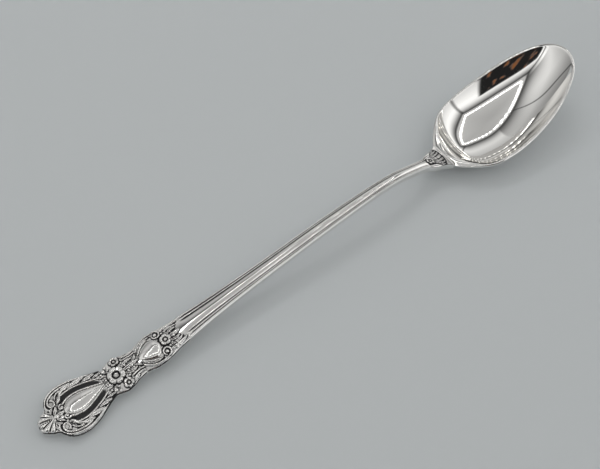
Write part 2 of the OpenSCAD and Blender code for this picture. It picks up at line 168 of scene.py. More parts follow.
def smooth_path(points: Knots) -> Array:
    """Run a smooth curve through drawn points.

    Args:
        points: Pairs of station and side.

    Returns:
        The curve's points, one row each.
    """
    p = np.asarray(points, float)
    p = np.vstack((2 * p[0] - p[1], p, 2 * p[-1] - p[-2]))
    out, shares = [], np.arange(PATH_STEPS) / PATH_STEPS
    for a, b, c, d in zip(p, p[1:], p[2:], p[3:]):
        bend, twist = 2 * a - 5 * b + 4 * c - d, 3 * b - a - 3 * c + d
        out += [(2 * b + (c - a) * k + bend * k**2 + twist * k**3) / 2 for k in shares]
    return np.array([*out, p[-2]])


def spiral(eye: tuple[float, float], radii: tuple[float, float], start: float, turn: float) -> Array:
    """Wind a spiral round an eye.

    Args:
        eye: Station and side of the eye.
        radii: Radius where it starts and where it ends.
        start: Angle where it starts, in degrees.
        turn: How far it turns, in degrees, positive to the left.

    Returns:
        The spiral's points, one row each.
    """
    k = np.linspace(0, 1, SPIRAL_STEPS)
    angle = np.radians(start + turn * k)
    r = radii[0] * (radii[1] / radii[0]) ** k
    return np.stack((eye[0] + r * np.cos(angle), eye[1] + r * np.sin(angle)), 1)


@dataclass(frozen=True)
class Blank:
    """The spoon before its relief: plan, side view and thickness of the struck metal."""

    length: float = 190.0
    bowl_len: float = 48.5
    bowl_w: float = 28.4
    neck_len: float = 11.5
    neck_w: float = 3.1
    heel_w: float = 9.0
    heel_h: float = 2.6
    rim_back_h: float = 6.0
    rim_tip_h: float = 20.0
    end_len: float = 21.5
    end_w: float = 16.2
    blossom_len: float = 10.0
    blossom_w: float = 10.6
    upper_len: float = 14.5
    upper_w: float = 10.0
    stem_w: float = 7.7
    stem_mid_w: float = 4.2
    handle_t: float = 2.3
    stem_t: float = 2.1
    neck_t: float = 2.7
    handle_crown: float = 0.7
    stem_rib_h: float = 0.75
    arch_h: float = 9.1
    arch_at: float = 113.0
    land_at: float = 11.0
    tip_lift: float = 0.7
    back_flat_share: float = 0.6

    @property
    def heel_at(self) -> float:
        """Station where the bowl starts."""
        return self.length - self.bowl_len

    @property
    def neck_at(self) -> float:
        """Station where the neck starts."""
        return self.heel_at - self.neck_len

    @property
    def upper_at(self) -> float:
        """Station where the upper part of the handle starts."""
        return self.end_len + self.blossom_len

    @property
    def stem_at(self) -> float:
        """Station where the stem starts."""
        return self.upper_at + self.upper_len

    @cached_property
    def half_w_knots(self) -> Knots:
        """Half widths along the handle, stem and neck.

        Returns:
            Pairs of station and half width.
        """
        end = [(0.012, 0.19), (0.06, 0.31), (0.12, 0.42), (0.172, 0.48), (0.205, 0.6), (0.25, 0.79),
               (0.32, 0.92), (0.4, 0.985), (0.48, 1), (0.58, 0.96), (0.66, 0.9), (0.76, 0.79), (0.9, 0.62)]
        blossom = [(0, 0.82), (0.16, 0.9), (0.34, 1), (0.48, 0.98), (0.72, 0.84)]
        upper = [(0, 0.82), (0.12, 0.9), (0.25, 0.985), (0.38, 1), (0.54, 0.95), (0.76, 0.84)]
        stem = [(0.12, 0.55), (0.34, 0.18), (0.6, 0)]
        flare = [(0.35, 0.06), (0.48, 0.3), (0.6, 0.45), (0.8, 0.6), (0.92, 0.8)]
        return [
            (0.0, 0.1 * self.end_w / 2),
            *spread(end, 0, self.end_len, 0, self.end_w / 2),
            *spread(blossom, self.end_len, self.blossom_len, 0, self.blossom_w / 2),
            *spread(upper, self.upper_at, self.upper_len, 0, self.upper_w / 2),
            (self.stem_at, self.stem_w / 2),
            *spread(stem, self.stem_at, self.neck_at - self.stem_at, self.stem_mid_w / 2, self.stem_w / 2),
            (self.neck_at, self.neck_w / 2),
            *spread(flare, self.neck_at, self.neck_len, self.neck_w / 2, self.heel_w / 2),
            (self.heel_at, self.heel_w / 2),
        ]

    @cached_property
    def back_knots(self) -> Knots:
        """Heights of the back of the metal along the spoon.

        Returns:
            Pairs of station and height.
        """
        rise = [(0.18, 0.17), (0.38, 0.43), (0.62, 0.7), (0.87, 0.95)]
        fall = [(0.25, 0.95), (0.62, 0.54), (0.84, 0.2)]
        return [
            (0.0, self.tip_lift),
            (self.land_at, 0.0),
            *spread(rise, self.land_at, self.arch_at - self.land_at, 0, self.arch_h),
            (self.arch_at, self.arch_h),
            *spread(fall, self.arch_at, self.heel_at - self.arch_at, self.heel_h, self.arch_h),
            (self.heel_at, self.heel_h),
        ]

    def back_round(self) -> tuple[Array, Array]:
        """Shares of the half width and of the rise along the rounded edge of the back, from the side down."""
        bend = np.radians(np.arange(0, 91, 15))
        return self.back_flat_share + (1 - self.back_flat_share) * np.cos(bend), 1 - np.sin(bend)

    def half_w(self, s: Array) -> Array:
        """Half width at a station."""
        return flow(self.half_w_knots, s)

    def back_z(self, s: Array) -> Array:
        """Height of the back at a station."""
        return flow(self.back_knots, s)

    def edge_z(self, s: Array) -> Array:
        """Height of the front's edges at a station.

        Args:
            s: Stations.

        Returns:
            The heights.
        """
        thick = [(0, 0.85 * self.handle_t), (self.land_at, self.handle_t), (self.stem_at, self.stem_t),
                 ((self.stem_at + self.neck_at) / 2, 1.05 * self.stem_t), (self.neck_at, self.neck_t),
                 (self.heel_at, self.rim_back_h - self.heel_h)]
        return self.back_z(s) + flow(thick, s)

    def crown(self, s: Array) -> Array:
        """Rise of the front's middle over its edges at a station.

        Args:
            s: Stations.

        Returns:
            The rises.
        """
        high, rib, full = self.handle_crown, self.stem_rib_h, self.stem_at + self.upper_len
        return flow([(0, 0.6 * high), (self.land_at, high), (self.stem_at, high), (full, rib),
                     (self.neck_at, rib), (self.heel_at, 0)], s)

    def field_z(self, s: Array, y: Array) -> Array:
        """Height of the smooth front at a station and side."""
        return self.edge_z(s) + self.crown(s) * np.maximum(0, 1 - (y / self.half_w(s)) ** 2)

    def place(self, s: Array, y: Array, z: Array) -> Array:
        """Points in metres in the CAD frame, one row each."""
        return np.stack((s - self.length / 2, y, z), -1).reshape(-1, 3) * MM


BLANK = Blank()


class Motif(Protocol):
    """A shape of the relief, drawn on the side of the handle where y is positive."""

    def box(self) -> Box:
        """Lowest and highest station, then lowest and highest side, that the shape can reach."""

    def rise(self, s: Array, y: Array) -> Array:
        """Height over the field at stations and sides inside the box, negative outside the shape."""


def walls(inside: Array, over: Array) -> Array:
    """Join a shape's height to walls that fall away at distances past its edge."""
    return np.where(over <= 0, inside, inside - SIDE_SLOPE * over)


def lengths_along(path: Array) -> Array:
    """Lengths of a path up to each of its points."""
    return np.concatenate(([0], np.cumsum(np.hypot(*np.diff(path, axis=0).T))))


def along(path: Array, s: Array, y: Array) -> tuple[Array, Array]:
    """Measure points against a path.

    Args:
        path: The path's points, one row each.
        s: Stations to measure.
        y: Sides to measure.

    Returns:
        Distance from the path, and the share of its length that lies before the nearest place on it.
    """
    best, run = np.full(s.shape, np.inf), np.zeros(s.shape)
    starts = lengths_along(path)
    for a, step, size, start in zip(path, np.diff(path, axis=0), np.diff(starts), starts):
        ds, dy = s - a[0], y - a[1]
        k = part((ds * step[0] + dy * step[1]) / size**2)
        off = np.hypot(ds - k * step[0], dy - k * step[1])
        run = np.where(off < best, start + k * size, run)
        best = np.minimum(off, best)
    return best, run / starts[-1]


@dataclass(frozen=True)
class Track:
    """A motif that runs along a path, with its reach to each side and its height."""

    path: Array
    r: float
    h: float

    def box(self) -> Box:
        """Box round the path that the motif can reach."""
        low, high = self.path.min(0) - (self.r + 0.35), self.path.max(0) + (self.r + 0.35)
        return low[0], high[0], low[1], high[1]


@dataclass(frozen=True)
class Thread(Track):
    """A round thread or scroll of even height that may taper at its ends."""

    start: float = 0.7
    end: float = 0.5
    run_in: float = 0.12

    def width(self, t: Array) -> Array:
        """Radius at a share of the path's length."""
        knots = (0, self.start), (self.run_in, 1), (1 - 2 * self.run_in, 0.95), (1, self.end)
        return self.r * flow(knots, t)

    def rise(self, s: Array, y: Array) -> Array:
        """Height of the thread over the field.

        Args:
            s: Stations.
            y: Sides.

        Returns:
            The heights, negative outside it.
        """
        d, t = along(self.path, s, y)
        r = self.width(t)
        return walls(self.h * (r / self.r) ** 0.5 * arc(d / r), d - r)


@dataclass(frozen=True)
class Leaf(Track):
    """An acanthus leaf with a sunk midrib, lobed edges and veins that sweep outwards, or with even ribs."""

    lobes: int = 3
    lobe_depth: float = 0.24
    vein: float = 0.16
    blunt: float = 0.5
    tip_lift: float = 0.25
    ribs: float = 0.0
    rib_depth: float = 0.16

    def rise(self, s: Array, y: Array) -> Array:
        """Height of the leaf over the field.

        Args:
            s: Stations.
            y: Sides.

        Returns:
            The heights, negative outside it.
        """
        v, t = along(self.path, s, y)
        notch = np.abs(np.sin(np.pi * (t * self.lobes - 0.55 * v / self.r))) ** 0.6
        outline = np.maximum(1e-3, np.sin(np.pi * part(0.08 + 0.92 * t) ** 0.8)) ** self.blunt
        width = self.r * outline * (1 - self.lobe_depth * (1 - notch))
        share = part(v / width)
        body = self.h * (0.62 + self.tip_lift * t) * (1 - share**2.4) ** 0.5
        fold = self.h * 0.3 * np.sin(np.pi * share) ** 2
        midrib = self.h * 0.34 * bell(v / (0.13 * self.r + 0.03)) * (1 - t)
        veins = self.vein * self.h * (1 - notch) * np.sin(np.pi * part(share * 0.9))
        if self.ribs:
            midrib = self.rib_depth * self.h * (1 - np.abs(np.sin(np.pi * self.ribs * share)) ** 0.7)
        return walls(body + fold - midrib - veins, v - width)


@dataclass(frozen=True)
class Disc:
    """A round motif: its middle, radius and height, and how far past its edge it is still read."""

    centre: tuple[float, float]
    r: float
    h: float
    margin = 0.35

    def box(self) -> Box:
        """Box that the motif can reach."""
        (s, y), grown = self.centre, self.r + self.margin
        return s - grown, s + grown, y - grown, y + grown


@dataclass(frozen=True)
class Blossom(Disc):
    """A round flower with cupped petals, an inner cup and a boss of seeds."""

    petals: int
    turn: float = 0.0
    seeds: int = 5
    crease: float = 0.2
    lobing: float = 0.11
    boss_r: float = 0.3
    pit_r: float = 0.48
    pit_h: float = 0.05

    def rise(self, s: Array, y: Array) -> Array:
        """Height of the flower over the field.

        Args:
            s: Stations.
            y: Sides.

        Returns:
            The heights, negative outside it.
        """
        ds, dy = s - self.centre[0], y - self.centre[1]
        rho = np.hypot(ds, dy) / self.r
        angle = np.arctan2(dy, ds) - math.radians(self.turn)
        lobe = np.abs(np.cos(angle * self.petals / 2))
        edge = 1 - self.lobing * (1 - lobe**0.55)
        share = part(rho / edge)
        cup = 0.5 + 0.5 * np.sin(np.pi * part((share - 0.38) / 0.5) / 2) ** 1.5
        lip = np.sqrt(np.maximum(0, 1 - part((share - 0.72) / 0.28) ** 2.6))
        gully = self.crease * bell(lobe * rho / 0.16) * part((rho - 0.3) / 0.3)
        middle = 0.12 * bell((1 - lobe) * rho / 0.05) * part((rho - 0.5) / 0.2)
        pit = np.where(rho < self.pit_r, self.pit_h, cup * lip - gully - middle)
        boss = 0.85 * arc(rho / self.boss_r) - 0.4 * bell(rho / 0.08)
        seeds = 0.16 * np.cos(angle * self.seeds) * bell((rho - 0.19) / 0.06)
        top = np.maximum(pit, np.where(rho < self.boss_r, boss + seeds, 0))
        return walls(self.h * top, (rho - edge) * self.r)


@dataclass(frozen=True)
class Bead(Disc):
    """A round bead."""

    margin = 0.3

    def rise(self, s: Array, y: Array) -> Array:
        """Height of the bead over the field."""
        d = np.hypot(s - self.centre[0], y - self.centre[1])
        return walls(self.h * arc(d / self.r), d - self.r)


@dataclass(frozen=True)
class Panel:
    """A smooth domed panel along the middle of the handle."""

    edge: Knots
    h: float
    margin = 0.3

    @property
    def widest(self) -> float:
        """Half width where the panel is widest."""
        return max(w for _, w in self.edge)

    def box(self) -> Box:
        """Box that the panel can reach."""
        start, stop, side = self.edge[0][0], self.edge[-1][0], self.widest + self.margin
        return start - self.margin, stop + self.margin, -side, side

    def rise(self, s: Array, y: Array) -> Array:
        """Height of the panel over the field.

        Args:
            s: Stations.
            y: Sides.

        Returns:
            The heights, negative outside it.
        """
        w = np.maximum(flow(self.edge, s), 0.02)
        inside = np.minimum(s - self.edge[0][0], self.edge[-1][0] - s)
        top = self.h * (w / self.widest) ** 0.9 * (1 - part(np.abs(y) / w) ** 2) ** 0.75
        return walls(top, np.maximum(np.abs(y) - w, -inside))


@dataclass(frozen=True)
class Shell:
    """A shell of flutes that fan out from a root, with a beaded rib along its middle."""

    root: float
    spread: float = 66.0
    flutes: int = 5
    h: float = 0.95
    bead_step: float = 0.62
    edge: Knots = ((0, 1.0), (0.3, 0.97), (0.62, 0.9), (1, 0.8))

    def box(self) -> Box:
        """Box that the shell can reach."""
        return -0.2, self.root + 0.2, -self.root, self.root

    def rise(self, s: Array, y: Array) -> Array:
        """Height of the shell over the field.

        Args:
            s: Stations.
            y: Sides.

        Returns:
            The heights, negative outside it.
        """
        rho = np.hypot(s - self.root, y)
        angle = np.degrees(np.arctan2(np.abs(y), self.root - s))
        lobe = np.abs(np.cos(np.pi * angle / (2 * self.spread / self.flutes)))
        size = self.root * flow(self.edge, angle / self.spread) * (0.82 + 0.16 * lobe**0.5)
        share = part(rho / size)
        swell = (0.45 + 0.55 * soft_step(share * 1.2)) * arc(part((share - 0.8) / 0.2))
        crease = 0.45 * bell(lobe / 0.3) * soft_step((share - 0.25) / 0.3)
        rib = 0.4 * np.cos(2 * np.pi * rho / self.bead_step) * bell(angle * rho / 14)
        over = np.maximum(rho - size, (angle - self.spread) * np.radians(1) * rho)
        return walls(self.h * (swell * (0.15 + 0.85 * lobe**0.55) - crease + rib * (share > 0.2)), over)


def leaf(points: Knots, *shape: float, **more: float) -> Leaf:
    """Leaf along a smooth curve through points."""
    return Leaf(smooth_path(points), *shape, **more)


def thread(points: Knots, *shape: float, **more: float) -> Thread:
    """Thread along a smooth curve through points."""
    return Thread(smooth_path(points), *shape, **more)


@dataclass
class Relief:
    """The struck ornament: which motifs stand on which part of the spoon."""

    thread_r: float = 0.3
    thread_h: float = 0.6
    leaf_h: float = 0.8
    husk_ribs: float = 1.0
    crescent_depth: float = 0.55
    map_step: float = 0.05
    map_half: float = 9.5
    beside_h: float = -1.5
    wheel_r: float = 0.27
    wheel_reach: float = 0.8
    full_depth: float = 0.2
    neck_depth: float = 0.08
    worn_share: float = 0.64
    neck_start: float = 133.0
    neck_end: float = 142.5
    neck_margin: float = 8.0
    past: float = 2.0
    taper: Knots = ((7.4, 2.2), (20.9, -3.6))
    fade: Knots = ((7.8, 0.9), (20.7, -2.4))
    crescent_line: Knots = ((8.0, 4.15), (9.5, 4.7), (11.4, 4.9), (13.6, 4.7), (16.0, 4.05), (18.4, 3.15),
                            (20.6, 2.1))
    oval_line: Knots = ((8.5, 2.15), (9.9, 2.72), (11.6, 3.0), (13.4, 2.85), (15.2, 2.4), (17.0, 1.75),
                        (18.8, 1.05), (20.2, 0.5))
    oval_edge: Knots = ((7.5, 0.1), (8.4, 1.3), (9.9, 2.5), (11.6, 2.8), (13.4, 2.65), (15.2, 2.2),
                        (17.0, 1.55), (18.8, 0.85), (20.3, 0.15))
    upper_edge: Knots = ((31.7, 0.25), (33.0, 1.7), (34.6, 2.6), (36.1, 2.95), (37.3, 2.6), (38.15, 1.4),
                         (38.6, 0.3))

    @cached_property
    def motifs(self) -> dict[str, list[Motif]]:
        """Motifs of each part.

        Returns:
            The motifs by part, in the order in which the parts are made.
        """
        high, low, r, h = self.leaf_h, self.leaf_h * 0.8, self.thread_r, self.thread_h
        curl_eye, volute_eye = (7.75, 1.5), (38.85, 3.05)
        rim = [(5.4, 2.2), (4.5, 2.9), (4.25, 4.0), (4.6, 5.1), (5.6, 6.3), (7.3, 7.2), (9.7, 7.62),
               (12.4, 7.35), (15.6, 6.35), (18.6, 5.3), (21.3, 4.4)]
        winding = [(13.2, 6.25), (11.6, 6.72), (9.7, 6.85), (7.9, 6.6), (6.4, 5.95), (5.5, 5.05), (5.2, 4.1),
                   (5.5, 3.3), (6.2, 3.05), (6.8, 3.5), (6.95, 4.3), (6.65, 4.95)]
        hook = [(7.6, 3.35), (8.3, 3.7), (8.85, 4.45), (9.4, 5.2), (10.4, 5.75), (11.4, 5.9)]
        husks = {((9.6, 5.75), (13.5, 6.35)): 0.72, ((12.4, 5.45), (17.2, 5.65)): 0.76,
                 ((16.2, 4.6), (19.9, 4.55)): 0.62, ((19.0, 3.7), (21.5, 3.75)): 0.44}
        return {
            "end_shell": [
                Shell(4.75),
                Bead((5.25, 0), 0.7, 0.9),
                leaf([(5.7, 0), (6.4, 0), (7.1, 0), (7.9, 0)], 0.66, high, 2),
                leaf([(5.3, 0.85), (5.7, 1.4), (6.15, 1.85), (6.6, 2.5)], 0.56, high, 2),
                leaf([(4.4, 1.5), (4.7, 2.0), (5.1, 2.45), (5.75, 2.7)], 0.46, high, 2),
                leaf([(3.6, 2.5), (3.95, 3.0), (4.1, 3.6)], 0.4, low, 2),
            ],
            "end_scrolls": [
                thread(hook, 0.42, 0.85, 0.8, 0.3),
                thread(rim, r * 1.1, h * 1.05),
                thread(winding, r, h * 1.15, 0.5, 0.9),
                thread([(7.5, 4.6), (7.9, 5.3), (8.8, 5.95), (9.9, 6.3)], 0.26, 0.7, 0.9, 0.4),
                Bead((6.5, 4.95), 0.42, 0.85),
            ],
            "husk_borders": [
                Leaf(np.array(line), width, high, 2, ribs=self.husk_ribs) for line, width in husks.items()
            ],
            "crescent_threads": [thread(self.crescent_line, r * 0.9, h)],
            "oval_panel": [Panel(self.oval_edge, 1.7)],
            "oval_border": [
                thread(self.oval_line, r, h * 1.15, 0.95, 0.6),
                Thread(spiral(curl_eye, (0.9, 0.3), 62, 330), r * 0.85, h * 1.1, end=0.8),
                Bead(curl_eye, 0.3, 0.6),
            ],
            "main_blossom": [Blossom((24.2, 0), 2.6, 1.35, 6, 30, 6, 0.26, 0.13)],
            "side_blossoms": [Blossom((25.8, 3.85), 1.5, 1.1, 5, 20, 4, 0.34, 0.24)],
            "beads": [
                Bead((22.0, 3.35), 0.6, 0.75), Bead((22.95, 4.1), 0.48, 0.65), Bead((21.3, 0.55), 0.34, 0.6),
                Bead((21.0, 2.75), 0.4, 0.6), Bead((20.7, 1.15), 0.3, 0.5), Bead((23.2, 2.95), 0.36, 0.55),
            ],
            "waist_spray": [
                leaf([(26.9, 0), (28.4, 0), (29.9, 0), (31.3, 0)], 0.8, high * 1.1, 4, 0.4),
                leaf([(26.8, 1.2), (27.9, 1.65), (29.1, 1.75), (30.2, 1.5)], 0.62, high, 4, 0.4),
                leaf([(29.9, 0.75), (30.7, 1.25), (31.4, 1.95)], 0.46, high * 0.9, 3, 0.4),
                Bead((27.55, 0.95), 0.36, 0.7),
                leaf([(27.0, 4.35), (28.3, 4.05), (29.5, 3.8)], 0.34, 0.6, 3),
                leaf([(21.9, 1.7), (21.3, 2.0), (20.6, 2.0), (19.9, 2.3)], 0.36, low, 3),
                leaf([(22.3, 2.5), (21.7, 3.4), (21.2, 4.0)], 0.36, low, 2),
                Bead((27.1, 2.25), 0.34, 0.55),
            ],
            "waist_reeds": [
                thread([(27.6, 2.85), (29.0, 2.6), (30.4, 2.5), (31.6, 2.7)], 0.26, 0.55, 0.8, 0.8),
                thread([(27.9, 3.75), (29.3, 3.35), (30.5, 3.25), (31.5, 3.45)], 0.3, 0.6, 0.8, 0.8),
            ],
            "upper_panel": [Panel(self.upper_edge, 1.9)],
            "upper_husks": [
                thread([(31.8, 2.3), (33.0, 3.4), (34.6, 4.25), (36.6, 4.6), (38.4, 4.35)], 0.3, 0.6),
                thread([(31.9, 1.1), (33.2, 2.2), (34.6, 3.0), (36.2, 3.35)], 0.26, 0.6, 0.6, 0.4),
                leaf([(32.4, 2.0), (33.8, 3.05), (35.4, 3.7), (37.2, 3.75)], 0.5, high, 4),
                leaf([(37.2, 1.9), (37.9, 1.35), (38.6, 1.25)], 0.42, low, 2),
            ],
            "upper_volutes": [
                Thread(spiral(volute_eye, (1.25, 0.95), 95, -330), 0.28, 0.7, 0.9, 0.7),
                Bead(volute_eye, 0.55, 0.8),
            ],
            "upper_blossom": [Blossom((40.3, 0), 1.7, 1.0, 5, 0, 4, 0.3, 0.16)],
            "stem_spray": [
                leaf([(41.7, 0), (42.8, 0), (43.9, 0), (45.0, 0)], 0.78, high, 3, 0.35),
                leaf([(41.7, 1.15), (42.5, 1.45), (43.4, 1.5), (44.3, 1.2)], 0.52, high, 3, 0.35),
                leaf([(40.5, 3.3), (42.1, 3.4), (43.9, 3.2), (45.7, 2.8)], 0.68, high, 4, ribs=1.5),
                leaf([(41.3, 2.3), (42.4, 2.45), (43.6, 2.3), (44.9, 1.95)], 0.46, high * 0.85, 3),
                Bead((40.5, 2.25), 0.34, 0.6),
            ],
            "neck_spray": [
                Blossom((135.9, 0), 1.3, 0.9, 6, 0, 3, 0.3, 0.2),
                leaf([(136.8, 0), (138.0, 0), (139.2, 0), (140.6, 0)], 0.5, 0.65, 3),
                leaf([(136.9, 0.7), (137.9, 0.95), (139.0, 1.2), (140.4, 1.35)], 0.42, 0.6, 3),
                leaf([(137.2, 1.35), (138.2, 1.85), (139.1, 2.2), (140.1, 2.4)], 0.42, 0.6, 3),
                leaf([(138.2, 2.4), (138.9, 2.85), (139.6, 3.15)], 0.32, 0.5, 2),
                Bead((136.7, 1.05), 0.28, 0.5),
                thread([(141.1, -0.1), (141.0, 1.2), (140.7, 2.4), (140.1, 3.2)], 0.22, 0.5),
            ],
        }

    def rise(self, node: str, s: Array, y: Array) -> Array:
        """Height of one part's relief over the field, the same on both sides.

        Args:
            node: The part.
            s: Stations.
            y: Sides.

        Returns:
            The highest of the part's motifs at each point.
        """
        side, out = np.abs(y), np.full(s.shape, FAR_BELOW)
        for motif in self.motifs[node]:
            a, b, c, d = motif.box()
            near = (s >= a) & (s <= b) & (side >= c) & (side <= d)
            if near.any():
                out[near] = np.maximum(out[near], motif.rise(s[near], side[near]))
        return np.where(out > 0, out * self.worn_share, out)

    def sunk(self, s: Array, y: Array) -> Array:
        """Depth of the two dark crescents beside the oval panel.

        Args:
            s: Stations.
            y: Sides.

        Returns:
            The depth at each point, 0 outside the crescents.
        """
        outer, inner = flow(self.crescent_line, s), flow(self.oval_line, s)
        taper = math.prod(part((s - at) / size) for at, size in self.taper) ** 0.5
        middle, half = (outer + inner) / 2, np.maximum((outer - inner) / 2 * taper, 0.05)
        across = part(1 - ((np.abs(y) - middle) / half) ** 2)
        ends = math.prod(soft_step((s - at) / size) for at, size in self.fade)
        return self.crescent_depth * across**0.5 * ends

    @cached_property
    def maps(self) -> list[tuple[Array, Array, Array]]:
        """Maps of the handle's front and of the neck.

        Returns:
            Stations, sides and distances of each map.
        """
        on_neck = ["neck_spray"]
        on_handle = [node for node in self.motifs if node not in on_neck]
        return [self.missed(-1, BLANK.stem_at + self.past, on_handle),
                self.missed(self.neck_start, self.neck_end, on_neck)]

    def missed(self, start: float, end: float, nodes: Sequence[str]) -> tuple[Array, Array, Array]:
        """Map how far the front lies out of a polishing wheel's reach.

        Args:
            start: Station where the map starts.
            end: Station where it ends.
            nodes: Parts whose relief it covers.

        Returns:
            The map's stations and sides, and the distances below the wheel.
        """
        s = np.arange(start, end, self.map_step)
        y = np.arange(-self.map_half, self.map_half + self.map_step, self.map_step)
        grid = np.meshgrid(s, y, indexing="ij")
        height = np.maximum.reduce([-self.sunk(*grid), *(self.rise(node, *grid) for node in nodes)])
        height = np.where(np.abs(grid[1]) < BLANK.half_w(grid[0]), height, self.beside_h)
        return s, y, -self.wheel(-self.wheel(height)) - height

    def wheel(self, height: Array) -> Array:
        """Run a soft polishing wheel over a height map.

        Args:
            height: The map.

        Returns:
            The lowest heights that the wheel's centre can reach.
        """
        cells = int(self.wheel_reach / self.map_step)
        sag = (np.arange(-cells, cells + 1) * self.map_step) ** 2 / (2 * self.wheel_r)
        for _ in range(2):
            wide, size = np.pad(height, ((cells, cells), (0, 0)), mode="edge"), len(height)
            height = np.maximum.reduce([wide[k : k + size] - drop for k, drop in enumerate(sag)]).T
        return height

    def depth(self, s: Array, y: Array) -> Array:
        """How deep points lie in the recesses.

        Args:
            s: Stations.
            y: Sides.

        Returns:
            Values from 0, where the wheel polishes them, to 1.
        """
        on_neck = bool(s.min() > self.neck_start - self.neck_margin)
        *axes, missed = self.maps[on_neck]
        i, j = (np.clip((x - axis[0]) / self.map_step, 0, len(axis) - 2) for x, axis in zip((s, y), axes))
        a, b = i.astype(int), j.astype(int)
        u, v = i - a, j - b
        read = (missed[a, b] * (1 - u) + missed[a + 1, b] * u) * (1 - v)
        read += (missed[a, b + 1] * (1 - u) + missed[a + 1, b + 1] * u) * v
        fade = soft_step((BLANK.stem_at + self.past - s) / 3) + soft_step((s - self.neck_start) / self.past)
        return part(read / (self.neck_depth if on_neck else self.full_depth)) * fade

    def mark(self, thing: Thing, shown: Array | float = 1.0, least: Array | float = 0.0) -> Thing:
        """Store how deep each corner of a part lies as "recess".

        Args:
            thing: The part.
            shown: Share of the depth that counts at each corner.
            least: Least value of each corner.

        Returns:
            The part.
        """
        s, y, _ = corners_of(thing.data).T
        note(thing.data, "recess", np.maximum(self.depth(s, y) * shown, least))
        return thing


def stand(name: str, data: bpy.types.ID) -> Thing:
    """Put an object with this data in the scene.

    Args:
        name: Its name.
        data: Its mesh, light or camera.

    Returns:
        The object.
    """
    thing = bpy.data.objects.new(name, data)
    bpy.context.scene.collection.objects.link(thing)
    return thing


def solid(name: str, points: Array, faces: Sequence[Array], smooth_to: float = 52.0) -> Thing:
    """Make a mesh object from arrays.

    Args:
        name: Name of the object.
        points: Corners in metres, one row each.
        faces: Arrays of faces, one row of corner numbers each.
        smooth_to: Angle between faces, in degrees, over which their shared edge stays sharp.

    Returns:
        The object, in the scene, with outward normals.
    """
    corners = np.concatenate([f.ravel() for f in faces]).astype(np.int32)
    sizes = np.concatenate([np.full(len(f), f.shape[1]) for f in faces])
    mesh = bpy.data.meshes.new(name)
    mesh.vertices.add(len(points))
    mesh.vertices.foreach_set("co", np.ascontiguousarray(points, np.float32).ravel())
    mesh.loops.add(len(corners))
    mesh.loops.foreach_set("vertex_index", corners)
    mesh.polygons.add(len(sizes))
    mesh.polygons.foreach_set("loop_start", np.concatenate(([0], np.cumsum(sizes)[:-1])).astype(np.int32))
    mesh.update(calc_edges=True)
    mesh.validate()
    turn_out(mesh)
    mesh.shade_smooth()
    mesh.set_sharp_from_angle(angle=math.radians(smooth_to))
    return stand(name, mesh)


def tube(name: str, rings: Sequence[Array], ends: Sequence[Array], smooth_to: float = 52.0) -> Thing:
    """Make a solid from rings of points, closed by a point at each end.

    Args:
        name: Name of the object.
        rings: Stations, sides and heights, one row for each ring.
        ends: Stations, sides and heights of the two closing points.
        smooth_to: Angle between faces, in degrees, over which their shared edge stays sharp.

    Returns:
        The object.
    """
    points, (rows, count) = BLANK.place(*rings), rings[0].shape
    here = np.arange(count)
    after, last, past = np.roll(here, -1), len(points) - count, np.full(count, len(points))
    near, far = (count * np.arange(rows - 1)[:, None] + side for side in (here, after))
    quads = np.stack((near, near + count, far + count, far), -1).reshape(-1, 4)
    fans = [np.stack((after, here, past), -1), np.stack((here + last, after + last, past + 1), -1)]
    return solid(name, np.vstack((points, BLANK.place(*ends))), [quads, *fans], smooth_to)


def gather(items: bpy.types.bpy_prop_collection, key: str, kind: type) -> Array:
    """Read three numbers from each item of a mesh.

    Args:
        items: The items.
        key: What is read.
        kind: Type of the numbers.

    Returns:
        The numbers, one row for each item.
    """
    found = np.empty(len(items) * 3, kind)
    items.foreach_get(key, found)
    return found.reshape(-1, 3)


def turn_out(mesh: bpy.types.Mesh) -> None:
    """Turn a closed mesh's faces outwards if its signed volume is negative.

    Args:
        mesh: The mesh.
    """
    mesh.calc_loop_triangles()
    corners = gather(mesh.loop_triangles, "vertices", np.int32)
    a, b, c = gather(mesh.vertices, "co", np.float32)[corners].transpose(1, 0, 2).astype(float)
    if np.einsum("ij,ij->", a, np.cross(b, c)) < 0:
        mesh.flip_normals()


def note(mesh: bpy.types.Mesh, name: str, values: Sequence[float]) -> None:
    """Store one number for each corner of a mesh as a named attribute."""
    mesh.attributes.new(name, "FLOAT", "POINT").data.foreach_set("value", np.asarray(values, np.float32))


def corners_of(mesh: bpy.types.Mesh) -> Array:
    """A mesh's corners as stations, sides and heights in millimetres, one row each."""
    return gather(mesh.vertices, "co", np.float32).astype(float) / MM + (BLANK.length / 2, 0, 0)


def near_any(flags: Array) -> Array:
    """Whether any of the four neighbours of each inner place of a grid is set."""
    return flags[:-1, :-1] | flags[1:, :-1] | flags[:-1, 1:] | flags[1:, 1:]


